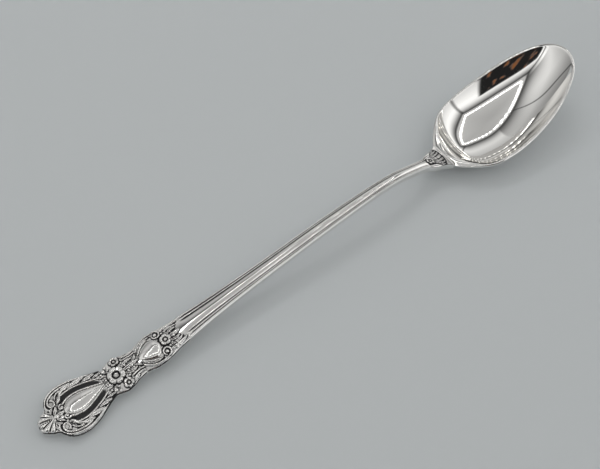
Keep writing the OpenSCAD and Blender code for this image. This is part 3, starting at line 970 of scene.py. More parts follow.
@dataclass
class Patch:
    """A sculpted part of the relief, cut from its height map as a closed solid that stands in the metal."""

    relief: Relief
    node: str
    step: float = 0.07
    root: float = 0.3
    skirt: float = 0.2
    inset: float = 0.05
    smooth_to: float = 80.0

    def build(self) -> Thing:
        """Make the part's mesh.

        Returns:
            The object, whose "recess" says how deep each corner lies.
        """
        boxes = np.array([motif.box() for motif in self.relief.motifs[self.node]])
        side = boxes[:, 3].max()
        s = np.arange(boxes[:, 0].min(), boxes[:, 1].max() + self.step, self.step)
        y = np.linspace(-side, side, 2 * int(side / self.step) + 1)
        s, y = np.meshgrid(s, y, indexing="ij")
        sunk, rise, base = self.relief.sunk(s, y), self.relief.rise(self.node, s, y), BLANK.field_z(s, y)
        cells = near_any((rise > -sunk) & (np.abs(y) < BLANK.half_w(s) - self.inset))
        framed = np.pad(cells, 1)
        touched = near_any(framed)
        used, count = touched.cumsum().reshape(s.shape) - 1, int(touched.sum())
        i, j = np.nonzero(cells)
        quad = np.stack((used[i, j], used[i + 1, j], used[i + 1, j + 1], used[i, j + 1]), -1)
        skirts = []
        for k, (di, dj) in enumerate(((0, -1), (1, 0), (0, 1), (-1, 0))):
            open_side = ~framed[i + 1 + di, j + 1 + dj]
            a, b = quad[open_side, k], quad[open_side, (k + 1) % 4]
            skirts.append(np.stack((b, a, a + count, b + count), -1))
        heights = base + np.maximum(rise, -sunk - self.skirt), base - sunk - self.root
        points = np.vstack([BLANK.place(s[touched], y[touched], z[touched]) for z in heights])
        faces = [quad, quad[:, ::-1] + count, *skirts]
        return self.relief.mark(solid(self.node, points, faces, self.smooth_to))


def sign(operation: str, swap: bool = False) -> Callable[..., "Wire"]:
    """Make an operator of wires.

    Args:
        operation: The calculation on numbers that it adds.
        swap: Whether its two sides change places.

    Returns:
        The operator.
    """
    def work(wire: "Wire", other: object = None) -> "Wire":
        """Add the calculation."""
        return wire.graph.math(operation, *((other, wire) if swap else (wire, other)))

    return work


@dataclass(frozen=True)
class Wire:
    """A node's output, with which calculations are written as formulas."""

    graph: "Graph"
    socket: bpy.types.NodeSocket

    __add__ = __radd__ = sign("ADD")
    __sub__, __rsub__ = sign("SUBTRACT"), sign("SUBTRACT", True)
    __mul__ = __rmul__ = sign("MULTIPLY")
    __truediv__, __pow__ = sign("DIVIDE"), sign("POWER")
    __gt__, __abs__ = sign("GREATER_THAN"), sign("ABSOLUTE")


@dataclass
class Graph:
    """Builds a node tree: adds nodes and links them."""

    tree: Tree

    def feed(self, socket: bpy.types.NodeSocket, value: object) -> None:
        """Link a wire to an input or set its constant.

        Args:
            socket: The input.
            value: A wire, a constant, or None.
        """
        if isinstance(value, Wire):
            self.tree.links.new(value.socket, socket)
        elif value is not None:
            socket.default_value = value

    def fill(self, node: bpy.types.Node, **values: object) -> None:
        """Feed inputs of a node by name, with underscores for spaces."""
        for name, value in values.items():
            self.feed(node.inputs[name.replace("_", " ")], value)

    def add(self, kind: str, *inputs: object, **settings: object) -> bpy.types.Node:
        """Add a node.

        Args:
            kind: The node's type.
            inputs: What its inputs get, in order: a wire, a constant, or None to leave one.
            settings: Properties of the node.

        Returns:
            The node.
        """
        node = self.tree.nodes.new(kind)
        for name, value in settings.items():
            setattr(node, name, value)
        for socket, value in zip([i for i in node.inputs if i.enabled], inputs):
            self.feed(socket, value)
        return node

    def outs(self, kind: str, *inputs: object, **settings: object) -> "Wires":
        """Add a node and return its outputs in use by name."""
        return {o.name: Wire(self, o) for o in self.add(kind, *inputs, **settings).outputs if o.enabled}

    def out(self, kind: str, *inputs: object, **settings: object) -> Wire:
        """Add a node and return its first output in use."""
        return next(iter(self.outs(kind, *inputs, **settings).values()))

    def math(self, operation: str, *inputs: object) -> Wire:
        """Add a calculation on numbers."""
        return self.out("ShaderNodeMath", *inputs, operation=operation)

    def mix(self, share: Wire, first: object, second: object) -> Wire:
        """Blend two numbers."""
        return self.out("ShaderNodeMix", share, first, second)

    def blend(self, share: Wire, first: object, second: object) -> Wire:
        """Blend two colours.

        Args:
            share: Share of the second.
            first: First colour.
            second: Second colour.

        Returns:
            The blend.
        """
        node = self.add("ShaderNodeMix", share, data_type="RGBA")
        for socket, value in zip([i for i in node.inputs if i.type == "RGBA"], (first, second)):
            self.feed(socket, value)
        return Wire(self, next(o for o in node.outputs if o.type == "RGBA"))

    def ramp(self, *values: object, kind: str = "LINEAR") -> Wire:
        """Map a number from one range to another: the number, low and high before, low and high after."""
        return self.out("ShaderNodeMapRange", *values, interpolation_type=kind)

    def noise(self, *values: object) -> Wire:
        """Add noise: where to read it, its scale, detail and roughness."""
        return self.out("ShaderNodeTexNoise", *values)

    def bump(self, strength: float, depth: float, height: Wire) -> Wire:
        """Turn heights into a bumped normal.

        Args:
            strength: Strength.
            depth: Depth of a height of 1, in metres.
            height: The heights.

        Returns:
            The normal.
        """
        node = self.add("ShaderNodeBump", strength, depth)
        self.fill(node, Height=height)
        return Wire(self, node.outputs["Normal"])

    def read(self, name: str) -> Wire:
        """Read a stored number of the geometry by its name."""
        return self.out("GeometryNodeInputNamedAttribute", name, data_type="FLOAT")

    def painted(self, name: str) -> Wire:
        """Read a stored number of the surface by its name."""
        return self.outs("ShaderNodeAttribute", attribute_name=name)["Fac"]

    def place(self, kind: str = "Object") -> Wire:
        """Read the place on the object, or the direction for "Generated" in a world."""
        return self.outs("ShaderNodeTexCoord")[kind]

    def vector(self, x: object, y: object, z: object) -> Wire:
        """Join three numbers into a vector."""
        return self.out("ShaderNodeCombineXYZ", x, y, z)

    def axes(self, vector: Wire) -> list[Wire]:
        """Split a vector into its three numbers."""
        return list(self.outs("ShaderNodeSeparateXYZ", vector).values())

    def join(self, *shapes: Wire) -> Wire:
        """Join geometry.

        Args:
            shapes: What is joined.

        Returns:
            The whole.
        """
        node = self.add("GeometryNodeJoinGeometry")
        for shape in shapes:
            self.feed(node.inputs[0], shape)
        return Wire(self, node.outputs[0])


Wires = dict[str, Wire]


def open_tree(name: str, kind: str, gives: Sequence[str],
              takes: dict[str, float | None]) -> tuple[Graph, Wires]:
    """Start a shared node tree with named inputs and outputs.

    Args:
        name: Name of the tree.
        kind: Its type.
        gives: Names of its outputs.
        takes: Names of its inputs, and the first values of those that are numbers.

    Returns:
        The graph, and the wires that come from the inputs by name.
    """
    graph = Graph(bpy.data.node_groups.new(name, kind))
    for way, labels in (("OUTPUT", dict.fromkeys(gives)), ("INPUT", takes)):
        for label, value in labels.items():
            sort = SOCKETS.get(label, "NodeSocketFloat")
            socket = graph.tree.interface.new_socket(name=label, in_out=way, socket_type=sort)
            if value is not None:
                socket.default_value = value
    return graph, graph.outs("NodeGroupInput")


def growing_tree(name: str, numbers: dict[str, float]) -> tuple[Graph, Wires]:
    """Start a tree of Geometry Nodes that turns stored points into a part, with named number inputs."""
    return open_tree(name, "GeometryNodeTree", ["Geometry"], {"Geometry": None, "Silver": None, **numbers})


def end_tree(graph: Graph, grown: Wire, given: Wires) -> Tree:
    """End a tree of Geometry Nodes with real geometry in its material.

    Args:
        graph: The graph to end.
        grown: The geometry.
        given: The wires from the tree's inputs.

    Returns:
        The finished tree.
    """
    smooth = graph.out("GeometryNodeSetShadeSmooth", graph.out("GeometryNodeRealizeInstances", grown))
    graph.add("NodeGroupOutput", graph.out("GeometryNodeSetMaterial", smooth, None, given["Silver"]))
    return graph.tree


def strand_tree() -> Tree:
    """Tree that runs a thread along each stored path and sets a ball on each stored ball point.

    Returns:
        The tree. Paths and balls are told apart by "ball"; "strand_r" and "height" are in metres.
    """
    numbers = {"Crest": 2.0, "Root": 1.6, "Sides": 20.0, "Ball Sides": 20.0}
    graph, given = growing_tree("threads and balls", numbers)
    parts = graph.outs("GeometryNodeSeparateGeometry", given["Geometry"], graph.read("ball"), domain="POINT")
    centres = graph.out("GeometryNodeMeshToPoints", parts["Selection"])
    ball = graph.out("GeometryNodeMeshUVSphere", given["Ball Sides"], given["Ball Sides"] * 0.5, 1.0)
    radius = graph.read("strand_r")
    size = graph.vector(radius, radius, graph.read("height"))
    balls = graph.out("GeometryNodeInstanceOnPoints", centres, None, ball, None, None, None, size)
    curve = graph.out("GeometryNodeMeshToCurve", parts["Inverted"])
    upright = graph.out("GeometryNodeSetCurveNormal", curve, mode="Z_UP")
    ring = graph.out("GeometryNodeCurvePrimitiveCircle", given["Sides"], None, None, None, 1.0)
    x, y, _ = graph.axes(graph.out("GeometryNodeInputPosition"))
    tall = graph.vector(x, y * graph.mix(y > 0.0, given["Root"], given["Crest"]), 0.0)
    profile = graph.out("GeometryNodeSetPosition", ring, None, tall)
    threads = graph.out("GeometryNodeCurveToMesh", upright, profile, radius, True)
    return end_tree(graph, graph.join(graph.out("GeometryNodeRealizeInstances", balls), threads), given)


def leaf_tree() -> Tree:
    """Tree that sets one ribbed leaf on every stored point of a row.

    Returns:
        The tree. Points read "yaw" and "tilt" in radians and "size" in metres; the inputs shape the leaf.
    """
    graph, given = growing_tree("row of leaves", {"Across": 41.0, "Along": 61.0, "Lobes": 4.0, "Width": 0.4,
                                                  "Rise": 0.42, "Ribs": 2.0, "Rib Depth": 0.04, "Curl": 0.25})
    grid = graph.out("GeometryNodeMeshGrid", 1.0, 2.0, given["Along"], given["Across"])
    x, across, _ = graph.axes(graph.out("GeometryNodeInputPosition"))
    run, share = x + 0.5, abs(across)
    wave = graph.math("SINE", (run - share * 0.13) * (given["Lobes"] * math.pi))
    belly = graph.math("SINE", run**0.8 * math.pi)
    outline = graph.math("MAXIMUM", belly, 0.0) ** 0.55
    y = across * (outline * (abs(wave) ** 0.6 * 0.22 + 0.78) * given["Width"])
    body = (1.0 - share**2.4) ** 0.5 * (run * given["Curl"] + 0.62)
    fold = graph.math("SINE", share * math.pi) * 0.3
    ridge = abs(graph.math("SINE", share * (given["Ribs"] * math.pi))) ** 0.7
    z = (ridge - 1.0) * given["Rib Depth"] * outline + (body + fold) * (outline * given["Rise"])
    blade = graph.out("GeometryNodeSetPosition", grid, None, graph.vector(run, y, z))
    down = graph.vector(0.0, 0.0, -1.0)
    wall = graph.out("GeometryNodeExtrudeMesh", blade, None, down, 0.12, False, mode="FACES")
    closed = graph.join(wall, graph.out("GeometryNodeFlipFaces", blade))
    welded = graph.out("GeometryNodeMergeByDistance", closed, None, 1e-5)
    points, size = graph.out("GeometryNodeMeshToPoints", given["Geometry"]), graph.read("size")
    turn, sizes = graph.vector(0.0, graph.read("tilt"), graph.read("yaw")), graph.vector(size, size, size)
    turned = graph.out("FunctionNodeEulerToRotation", turn)
    leaves = graph.out("GeometryNodeInstanceOnPoints", points, None, welded, None, None, turned, sizes)
    return end_tree(graph, leaves, given)


def loft_tree() -> Tree:
    """Tree that lofts a section along a rail whose points store the metal's width and heights.

    Returns:
        The tree. The rail stores its station, half width, back, edge, crown and roll under names that start
        with "rail"; the section stores its shares under names that start with "ring". Lengths are in metres.
    """
    graph, given = growing_tree("loft", {"Reed": 1.0})
    curves, chosen = [], graph.read("section")
    parts = graph.outs("GeometryNodeSeparateGeometry", given["Geometry"], chosen, domain="POINT")
    for half, others in (("Inverted", "ring_*"), ("Selection", "rail_*")):
        bare = graph.add("GeometryNodeRemoveAttribute", parts[half], pattern_mode="WILDCARD")
        graph.fill(bare, Name=others)
        curves.append(graph.out("GeometryNodeMeshToCurve", Wire(graph, bare.outputs["Geometry"])))
    body = graph.out("GeometryNodeCurveToMesh", *curves, 1.0, True)
    back, roll = graph.read("rail_back"), graph.read("rail_roll") * given["Reed"]
    front = graph.mix(roll, graph.read("ring_plain"), graph.read("ring_reeded"))
    z = (graph.read("rail_edge") - back) * graph.read("ring_side") + back
    z = front * graph.read("rail_crown") + z
    y = graph.read("ring_across") * graph.read("rail_half")
    moved = graph.out("GeometryNodeSetPosition", body, None, graph.vector(graph.read("rail_station"), y, z))
    return end_tree(graph, moved, given)


def grow(name: str, tree: Tree, points: Array, edges: Sequence, stored: dict[str, Sequence[float]],
         silver: Silver, numbers: dict[str, float]) -> Thing:
    """Grow a part from stored points with a tree of Geometry Nodes, and keep the plain mesh.

    Args:
        name: Name of the part.
        tree: The tree.
        points: Points in metres, one row each.
        edges: Pairs of points that are joined.
        stored: Values stored on the points.
        silver: Material of the part.
        numbers: Values of the tree's named inputs.

    Returns:
        The part's object, with no modifier left on it.
    """
    mesh = bpy.data.meshes.new(name)
    mesh.from_pydata(points.tolist(), np.array(edges).tolist(), [])
    for key, values in stored.items():
        note(mesh, key, values)
    thing = stand(name, mesh)
    modifier = thing.modifiers.new(tree.name, "NODES")
    modifier.node_group = tree
    for item in tree.interface.items_tree:
        if item.in_out == "INPUT" and item.name in numbers:
            modifier[item.identifier] = float(numbers[item.name])
        if item.in_out == "INPUT" and item.name == "Silver":
            modifier[item.identifier] = silver
    grown = bpy.data.meshes.new_from_object(thing.evaluated_get(bpy.context.evaluated_depsgraph_get()))
    thing.modifiers.remove(modifier)
    thing.data = grown
    turn_out(grown)
    grown.name = name
    return thing


@dataclass
class Strands:
    """Threads and balls of the relief, grown along their paths."""

    relief: Relief
    node: str
    tree: Tree
    sides: int = 20

    def build(self, silver: Silver) -> Thing:
        """Grow the part.

        Args:
            silver: Its material.

        Returns:
            The object, whose "recess" says how deep each corner lies.
        """
        points, edges, stored = [], [], {"strand_r": [], "height": [], "ball": []}
        for motif in self.relief.motifs[self.node]:
            is_ball = isinstance(motif, Bead)
            path = np.array([motif.centre]) if is_ball else motif.path
            run = lengths_along(path)
            radius = np.array([motif.r]) if is_ball else motif.width(run / run[-1])
            for flip in (1, -1):
                edges += [(len(points) + k, len(points) + k + 1) for k in range(len(path) - 1)]
                points += [(s, flip * y, BLANK.field_z(s, y)) for s, y in path]
                stored["strand_r"] += (radius * MM).tolist()
                stored["height"] += [motif.h * self.relief.worn_share * MM] * len(path)
                stored["ball"] += [float(is_ball)] * len(path)
        threads = [motif for motif in self.relief.motifs[self.node] if isinstance(motif, Thread)]
        crest = threads[0].h / threads[0].r * self.relief.worn_share if threads else 1.0
        numbers = {"Crest": crest, "Sides": self.sides, "Ball Sides": self.sides + 4}
        where = BLANK.place(*np.array(points).T)
        return self.relief.mark(grow(self.node, self.tree, where, edges, stored, silver, numbers))


@dataclass
class LeafRow:
    """The lapped acanthus leaves beside the crescents, one row on each side."""

    relief: Relief
    node: str
    tree: Tree
    tilt: float = -3.0
    rise_share: float = 0.95

    def build(self, silver: Silver) -> Thing:
        """Grow the rows.

        Args:
            silver: Their material.

        Returns:
            The object, whose "recess" says how deep each corner lies.
        """
        points, yaw, size = [], [], []
        row = self.relief.motifs[self.node]
        for motif in row:
            (s, y), step = motif.path[0], motif.path[-1] - motif.path[0]
            for flip in (1, -1):
                points.append((s, flip * y, BLANK.field_z(s, y)))
                yaw.append(flip * math.atan2(step[1], step[0]))
                size.append(math.hypot(*step) * MM)
        first = row[0]
        long, tall = size[0] / MM, first.h * self.relief.worn_share
        numbers = {"Lobes": first.lobes, "Width": first.r / long, "Rise": self.rise_share * tall / long,
                   "Ribs": first.ribs, "Rib Depth": first.rib_depth * tall / long}
        stored = {"yaw": yaw, "size": size, "tilt": [math.radians(self.tilt)] * len(yaw)}
        where = BLANK.place(*np.array(points).T)
        return self.relief.mark(grow(self.node, self.tree, where, [], stored, silver, numbers))


@dataclass
class Handle:
    """The struck blank of the handle, with the dark crescents sunk in its front."""

    relief: Relief
    row_step: float = 0.1
    columns: int = 150
    edge_r: float = 0.25
    nose: float = 0.35
    nose_w: float = 0.55
    back_h: float = 0.95
    front_h: float = 1.2
    table_gap: float = 0.006
    crowding: float = 0.9
    edge_turns: Sequence[float] = (67, 45, 22, 0)
    flat_share: float = 0.75
    stippled_from: float = 0.3

    def section(self, s: Array) -> tuple[Array, Array]:
        """Sides and heights round the metal at each station.

        Args:
            s: Stations.

        Returns:
            One row of sides and one of heights for each station.
        """
        half, edge, back = (f(s)[:, None] for f in (BLANK.half_w, BLANK.edge_z, BLANK.back_z))
        widest = math.pi / 2 * self.crowding
        u = np.sin(np.linspace(-1, 1, self.columns) * widest) / math.sin(widest)
        y = u * (half - self.edge_r)
        z = BLANK.field_z(s[:, None], y) - self.relief.sunk(s[:, None] + 0 * y, y)
        bend = np.radians(self.edge_turns)
        low_w, low_h = BLANK.back_round()
        back = back + self.table_gap
        flat_y = half * BLANK.back_flat_share * np.linspace(self.flat_share, -self.flat_share, 7)
        right_y = np.hstack((half - self.edge_r + self.edge_r * np.cos(bend), half * low_w))
        right_z = np.hstack((edge - self.edge_r + self.edge_r * np.sin(bend), back + self.back_h * low_h))
        return (np.hstack((y, right_y, flat_y, -right_y[:, ::-1])),
                np.hstack((z, right_z, back + 0 * flat_y, right_z[:, ::-1])))

    def build(self) -> Thing:
        """Make the handle's mesh.

        Returns:
            The object, whose "recess" says how deep each corner lies.
        """
        rows = int(BLANK.stem_at / self.row_step) + 1
        s = np.concatenate(([0, 0.015, 0.06], np.linspace(0.13, BLANK.stem_at, rows - 3)))
        ys, zs = self.section(s)
        tuck = arc(1 - part(s / self.nose) * 0.98 - 0.02)[:, None]
        middle = (zs.max(1) + zs.min(1))[:, None] / 2
        narrowed = ys * (self.nose_w + (1 - self.nose_w) * tuck)
        rings = s[:, None] + 0 * ys, narrowed, middle + (zs - middle) * tuck
        thing = tube("handle", rings, [axis[[0, -1]].mean(1) for axis in rings])
        s, y, z = corners_of(thing.data).T
        top = z > BLANK.back_z(s) + self.front_h
        note(thing.data, "stipple", soft_step(self.relief.sunk(s, y) / self.stippled_from) * top)
        return self.relief.mark(thing, top)


@dataclass
class Shaft:
    """A length of the stem or neck, whose front rolls into a middle rib and two threads along each edge."""

    name: str
    start: float
    end: float
    tree: Tree
    roll: Knots
    row_step: float = 0.5
    columns: int = 121
    grooves: Knots = ((0.55, 0.06), (0.78, 0.045))
    threads: tuple[tuple[float, float, float], ...] = ((0.67, 0.1, 0.62), (0.89, 0.1, 0.72))
    rib_half: float = 0.53
    rib_base: float = 0.05
    edge_from: float = 0.98
    side_low: float = 0.93
    back_h: float = 0.55
    flat_share: float = 0.6
    front_gap: float = 0.05

    def section(self) -> dict[str, Array]:
        """Shares that give the outline of the section, in order round it.

        Returns:
            The shares by name.
        """
        u = np.linspace(-1, 1, self.columns)
        v = np.abs(u)
        rib = (1 - self.rib_base) * arc(v / self.rib_half) + self.rib_base
        reeded = np.maximum.reduce([rib, *(h * arc((v - at) / r) for at, r, h in self.threads)])
        low_w, low_h = BLANK.back_round()
        right_u = np.concatenate(([1.0], low_w))
        right_side = np.concatenate(([self.side_low], self.back_h * low_h))
        flat = BLANK.back_flat_share * np.linspace(self.flat_share, -self.flat_share, 5)
        across = np.concatenate((u, right_u, flat, -right_u[::-1]))
        beside = np.zeros(len(across) - len(u))
        return {
            "ring_across": across,
            "ring_side": np.concatenate((np.ones(len(u)), right_side, 0 * flat, right_side[::-1])),
            "ring_plain": np.concatenate((1 - u**2, beside)),
            "ring_reeded": np.concatenate((np.where(v > self.edge_from, 0, reeded), beside)),
        }

    def build(self, silver: Silver, relief: Relief) -> Thing:
        """Loft the length of metal.

        Args:
            silver: Its material.
            relief: The relief, for how deep its corners lie.

        Returns:
            The object, whose "recess" says how deep each corner lies.
        """
        s = np.linspace(self.start, self.end, int((self.end - self.start) / self.row_step) + 1)
        outline = self.section()
        count, rows = len(outline["ring_across"]), len(s)
        rail = {
            "rail_station": (s - BLANK.length / 2) * MM,
            "rail_half": BLANK.half_w(s) * MM,
            "rail_back": BLANK.back_z(s) * MM,
            "rail_edge": BLANK.edge_z(s) * MM,
            "rail_crown": BLANK.crown(s) * MM,
            "rail_roll": flow(self.roll, s),
        }
        stored = {key: np.concatenate((values, np.zeros(count))) for key, values in rail.items()}
        stored["section"] = np.repeat((0.0, 1.0), (rows, count))
        stored |= {key: np.concatenate((np.zeros(rows), values)) for key, values in outline.items()}
        steps, around = np.arange(rows - 1), rows + np.arange(count)
        edges = np.hstack(((steps, steps + 1), (around, np.roll(around, -1)))).T
        turn = np.linspace(0, 2 * math.pi, count, endpoint=False)
        ring = np.stack((np.cos(turn), np.sin(turn), 0 * turn), -1) * MM
        points = np.vstack((BLANK.place(s, 0 * s, BLANK.back_z(s)), ring))
        thing = grow(self.name, self.tree, points, edges, stored, silver, {"Reed": 1.0})
        s, y, z = corners_of(thing.data).T
        front = z > BLANK.edge_z(s) - self.front_gap
        deep = sum(bell((np.abs(y) / BLANK.half_w(s) - at) / wide) for at, wide in self.grooves)
        for used in stored.keys() & set(thing.data.attributes.keys()):
            thing.data.attributes.remove(thing.data.attributes[used])
        return relief.mark(thing, front, part(deep) * flow(self.roll, s) * front)


@dataclass
class Bowl:
    """The bowl: a deep egg-shaped hollow, a flat rim, and the drop on its back that takes the neck."""

    deepest: float = 17.5
    rim_w: float = 0.9
    rim_t: float = 0.9
    lip: float = 0.25
    rim_round: float = 0.2
    rim_crown: float = 0.24
    rim_land: float = 0.94
    wall_share: float = 0.895
    back_round: float = 8.0
    drop_len: float = 12.0
    drop_flare: float = 0.1
    hollow_full: float = 0.3
    hollow_q: float = 7.3
    snug: float = 0.998
    outline: Knots = ((0, 0.1), (0.093, 0.495), (0.175, 0.924), (0.258, 1.243), (0.42, 1.724), (0.6, 2.24),
                      (0.77, 2.8), (0.9, 3.33), (1, 4.1))
    rim_rise: Knots = ((0, 0), (0.175, 0.09), (0.35, 0.175), (0.5, 0.29), (0.69, 0.51), (0.845, 0.755),
                       (1, 1))
    cup: Knots = ((0, 0.043), (0.2, 0.0395), (0.36, 0.0412), (0.69, 0.049), (1, 0.06))
    hollow_rings: Spans = ((0.015, 0.9, 44), (0.915, 1, 12))
    rim_rings: tuple[float, float, int] = (0.08, 1, 9)
    rim_sides: Sequence[float] = (0.3, 0.5)
    edge_turns: Sequence[float] = (90, 60, 30)
    under_rings: Spans = ((0.97, 0.9, 8), (0.88, 0.015, 40))
    smooth_to: float = 60.0
    around: int = 300
    samples: int = 4000
    heel_samples: int = 200

    def share(self, s: Array) -> Array:
        """Share of the bowl's length at a station."""
        return part((s - BLANK.heel_at) / BLANK.bowl_len)

    def outer_w2(self, s: Array) -> Array:
        """Square of the outer half width at a station."""
        t = self.share(s)
        return (BLANK.bowl_w / 2) ** 2 * self.snug * (1 - t) * spline(self.outline, t)

    def inner_w2(self, s: Array) -> Array:
        """Square of the hollow's half width at a station.

        Args:
            s: Stations.

        Returns:
            The squares, 0 outside the hollow.
        """
        stretched = BLANK.heel_at + (s - BLANK.heel_at) * BLANK.bowl_len / (BLANK.bowl_len - self.rim_w)
        shrink = 1 - self.rim_w / (BLANK.bowl_w / 2)
        k = part((s - BLANK.heel_at - self.rim_w - self.lip) / self.back_round)
        past = s <= BLANK.length - self.rim_w
        return np.maximum(self.outer_w2(stretched) * shrink**2 * (1 - (1 - k) ** 2.2) * past, 0)

    def rim_z(self, s: Array) -> Array:
        """Height of the rim at a station."""
        low, high = BLANK.rim_back_h, BLANK.rim_tip_h
        return low + (high - low) * spline(self.rim_rise, self.share(s))

    def sink(self, q: Array) -> Array:
        """Depth below the rim for a measure of how far inside a point lies."""
        q = np.maximum(q, 0)
        return q * (1 + self.hollow_full) - self.hollow_full * q**2 / self.hollow_q

    def hollow_z(self, s: Array, y: Array) -> Array:
        """Height of the hollow's surface."""
        inside = spline(self.cup, self.share(s)) * (self.inner_w2(s) - y**2)
        return self.rim_z(s) - self.rim_crown - self.sink(inside)

    def under_z(self, s: Array, y: Array) -> Array:
        """Height of the bowl's underside, with the drop at the heel.

        Args:
            s: Stations.
            y: Sides.

        Returns:
            The heights.
        """
        cup = self.wall_share * spline(self.cup, self.share(s))
        plain = self.rim_z(s) - self.rim_t - self.sink(cup * (self.outer_w2(s) - y**2))
        fade = part(1 - (s - BLANK.heel_at) / self.drop_len) ** 2
        v = part(np.abs(y) / (BLANK.heel_w / 2 + (s - BLANK.heel_at) * self.drop_flare))
        side = (BLANK.rim_back_h - self.rim_t - BLANK.heel_h) * v**3
        neck = BLANK.back_z(np.minimum(s, BLANK.heel_at)) + side
        return plain + np.minimum(neck - plain, 0) * fade * (1 - v**4)

    def edge_low(self, s: Array, y: Array, drop: float) -> Array:
        """Height of the rim's lower edge, which meets the drop at the heel."""
        return np.minimum(self.rim_z(s) - drop, self.under_z(s, y))

    def polar(self, w2: Callable[[Array], Array], start: float, end: float,
              flat: bool) -> tuple[Array, Array]:
        """Measure an outline from the deepest point.

        Args:
            w2: Square of the outline's half width at a station.
            start: Station where the outline starts.
            end: Station where it ends.
            flat: Whether a straight edge closes it at its start.

        Returns:
            Angles from 0 at the bowl's tip to pi at the neck, and the distances.
        """
        s = end - (end - start) * np.sin(np.linspace(0, math.pi / 2, self.samples)) ** 2
        y = np.sqrt(w2(s))
        if flat:
            s = np.concatenate((s, np.full(self.heel_samples, start)))
            y = np.concatenate((y, np.linspace(y[-1], 0, self.heel_samples + 1)[1:]))
        x = s - BLANK.heel_at - self.deepest
        return np.arctan2(y, x), np.hypot(x, y)

    def build(self) -> Thing:
        """Make the bowl's mesh.

        Returns:
            The object, whose "recess" says how deep each corner lies.
        """
        heel, tip = BLANK.heel_at, BLANK.length
        turn, far = self.polar(self.outer_w2, heel, tip, True)
        inner = self.polar(self.inner_w2, heel + self.rim_w + self.lip, tip - self.rim_w, False)
        run = lengths_along(np.stack((far * np.cos(turn), far * np.sin(turn)), 1))
        corner = turn[self.samples - 1]
        angles = np.interp(np.linspace(0, run[-1], self.around // 2 + 1), run, turn)
        angles[np.abs(angles - corner).argmin()] = corner
        angles = np.concatenate((angles, -angles[-2:0:-1]))
        r_out, r_in = np.interp(np.abs(angles), turn, far), np.interp(np.abs(angles), *inner)
        rings = []

        def ring(r: Array, height: Callable[..., Array], *drop: float) -> None:
            """Add one ring of points at distances from the deepest point."""
            s, y = heel + self.deepest + r * np.cos(angles), r * np.sin(angles)
            rings.append((s, y, height(s, y, *drop)))

        def rim(s: Array, y: Array, drop: float) -> Array:
            """Height of the rim, lowered by a drop."""
            return self.rim_z(s) - drop

        for k in spans(*self.hollow_rings):
            ring(k * r_in, self.hollow_z)
        for k in spans(self.rim_rings):
            ring(r_in + k * (r_out - r_in) * self.rim_land, rim, self.rim_crown * abs(2 * k - 1) ** 2)
        for drop in self.rim_sides:
            ring(r_out, rim, drop)
        for bend in np.radians(self.edge_turns):
            drop = self.rim_t - self.rim_round * (1 - math.cos(bend))
            ring(r_out - self.rim_round * (1 - math.sin(bend)), self.edge_low, drop)
        for k in spans(*self.under_rings):
            ring(k * (r_out - self.rim_round / 2), self.under_z)
        middle, zero = np.full(1, heel + self.deepest), np.zeros(1)
        poles = [(middle, zero, height(middle, zero)) for height in (self.hollow_z, self.under_z)]
        thing = tube("bowl", np.array(rings).swapaxes(0, 1), np.array(poles).swapaxes(0, 1), self.smooth_to)
        note(thing.data, "recess", np.zeros(len(thing.data.vertices)))
        return thing


def tarnish_group() -> Tree:
    """Shared shader group that says how dark the tarnish lies at a point.

    Returns:
        The group. It reads the stored "recess" and breaks its edge up with grain.
    """
    takes = {"Low": 0.1, "High": 0.75, "Grain Scale": 2600.0, "Grain Amount": 0.35}
    graph, given = open_tree("tarnish in recesses", "ShaderNodeTree", ["Mask"], takes)
    grain = graph.noise(graph.place(), given["Grain Scale"], 3.0, 0.6)
    uneven = graph.painted("recess") + (grain - 0.5) * given["Grain Amount"]
    graph.add("NodeGroupOutput", graph.ramp(uneven, given["Low"], given["High"], 0.0, 1.0, kind="SMOOTHSTEP"))
    return graph.tree


def marks_group() -> Tree:
    """Shared shader group of the fine marks of use: hair scratches, soft waves of polishing and specks.

    Returns:
        The group, with a bump height and a change of roughness.
    """
    takes = {"Scratch Scale": 420.0, "Stretch": 0.12, "Wave Scale": 60.0}
    graph, given = open_tree("marks of use", "ShaderNodeTree", ["Height", "Roughness"], takes)
    where = graph.place()
    stretch = graph.vector(given["Stretch"], 1.0, 1.0)
    crossed = graph.out("ShaderNodeVectorRotate", where, None, (0.3, 0.2, 1.0), 0.9)
    scratches = []
    for way, finer, detail in ((where, 8.0, 4.0), (crossed, 5.0, 3.0)):
        drawn = graph.out("ShaderNodeVectorMath", way, stretch, operation="MULTIPLY")
        scratches.append(graph.noise(drawn, given["Scratch Scale"] * finer, detail, 0.7))
    hair, thin = scratches[0], graph.ramp(scratches[1], 0.62, 0.78, 0.0, 1.0)
    smudge = (graph.noise(where, given["Wave Scale"], 2.0, 0.5) - 0.5) * 0.9
    graph.add("NodeGroupOutput", hair * 0.6 + thin * 0.4, smudge + (thin * 0.5 + hair * 0.4))
    return graph.tree


def new_material(name: str) -> tuple[Silver, Graph, bpy.types.Node]:
    """Start a material.

    Args:
        name: Its name.

    Returns:
        The material, its graph and its surface node.
    """
    material = bpy.data.materials.new(name)
    material.use_nodes = True
    return material, Graph(material.node_tree), material.node_tree.nodes["Principled BSDF"]


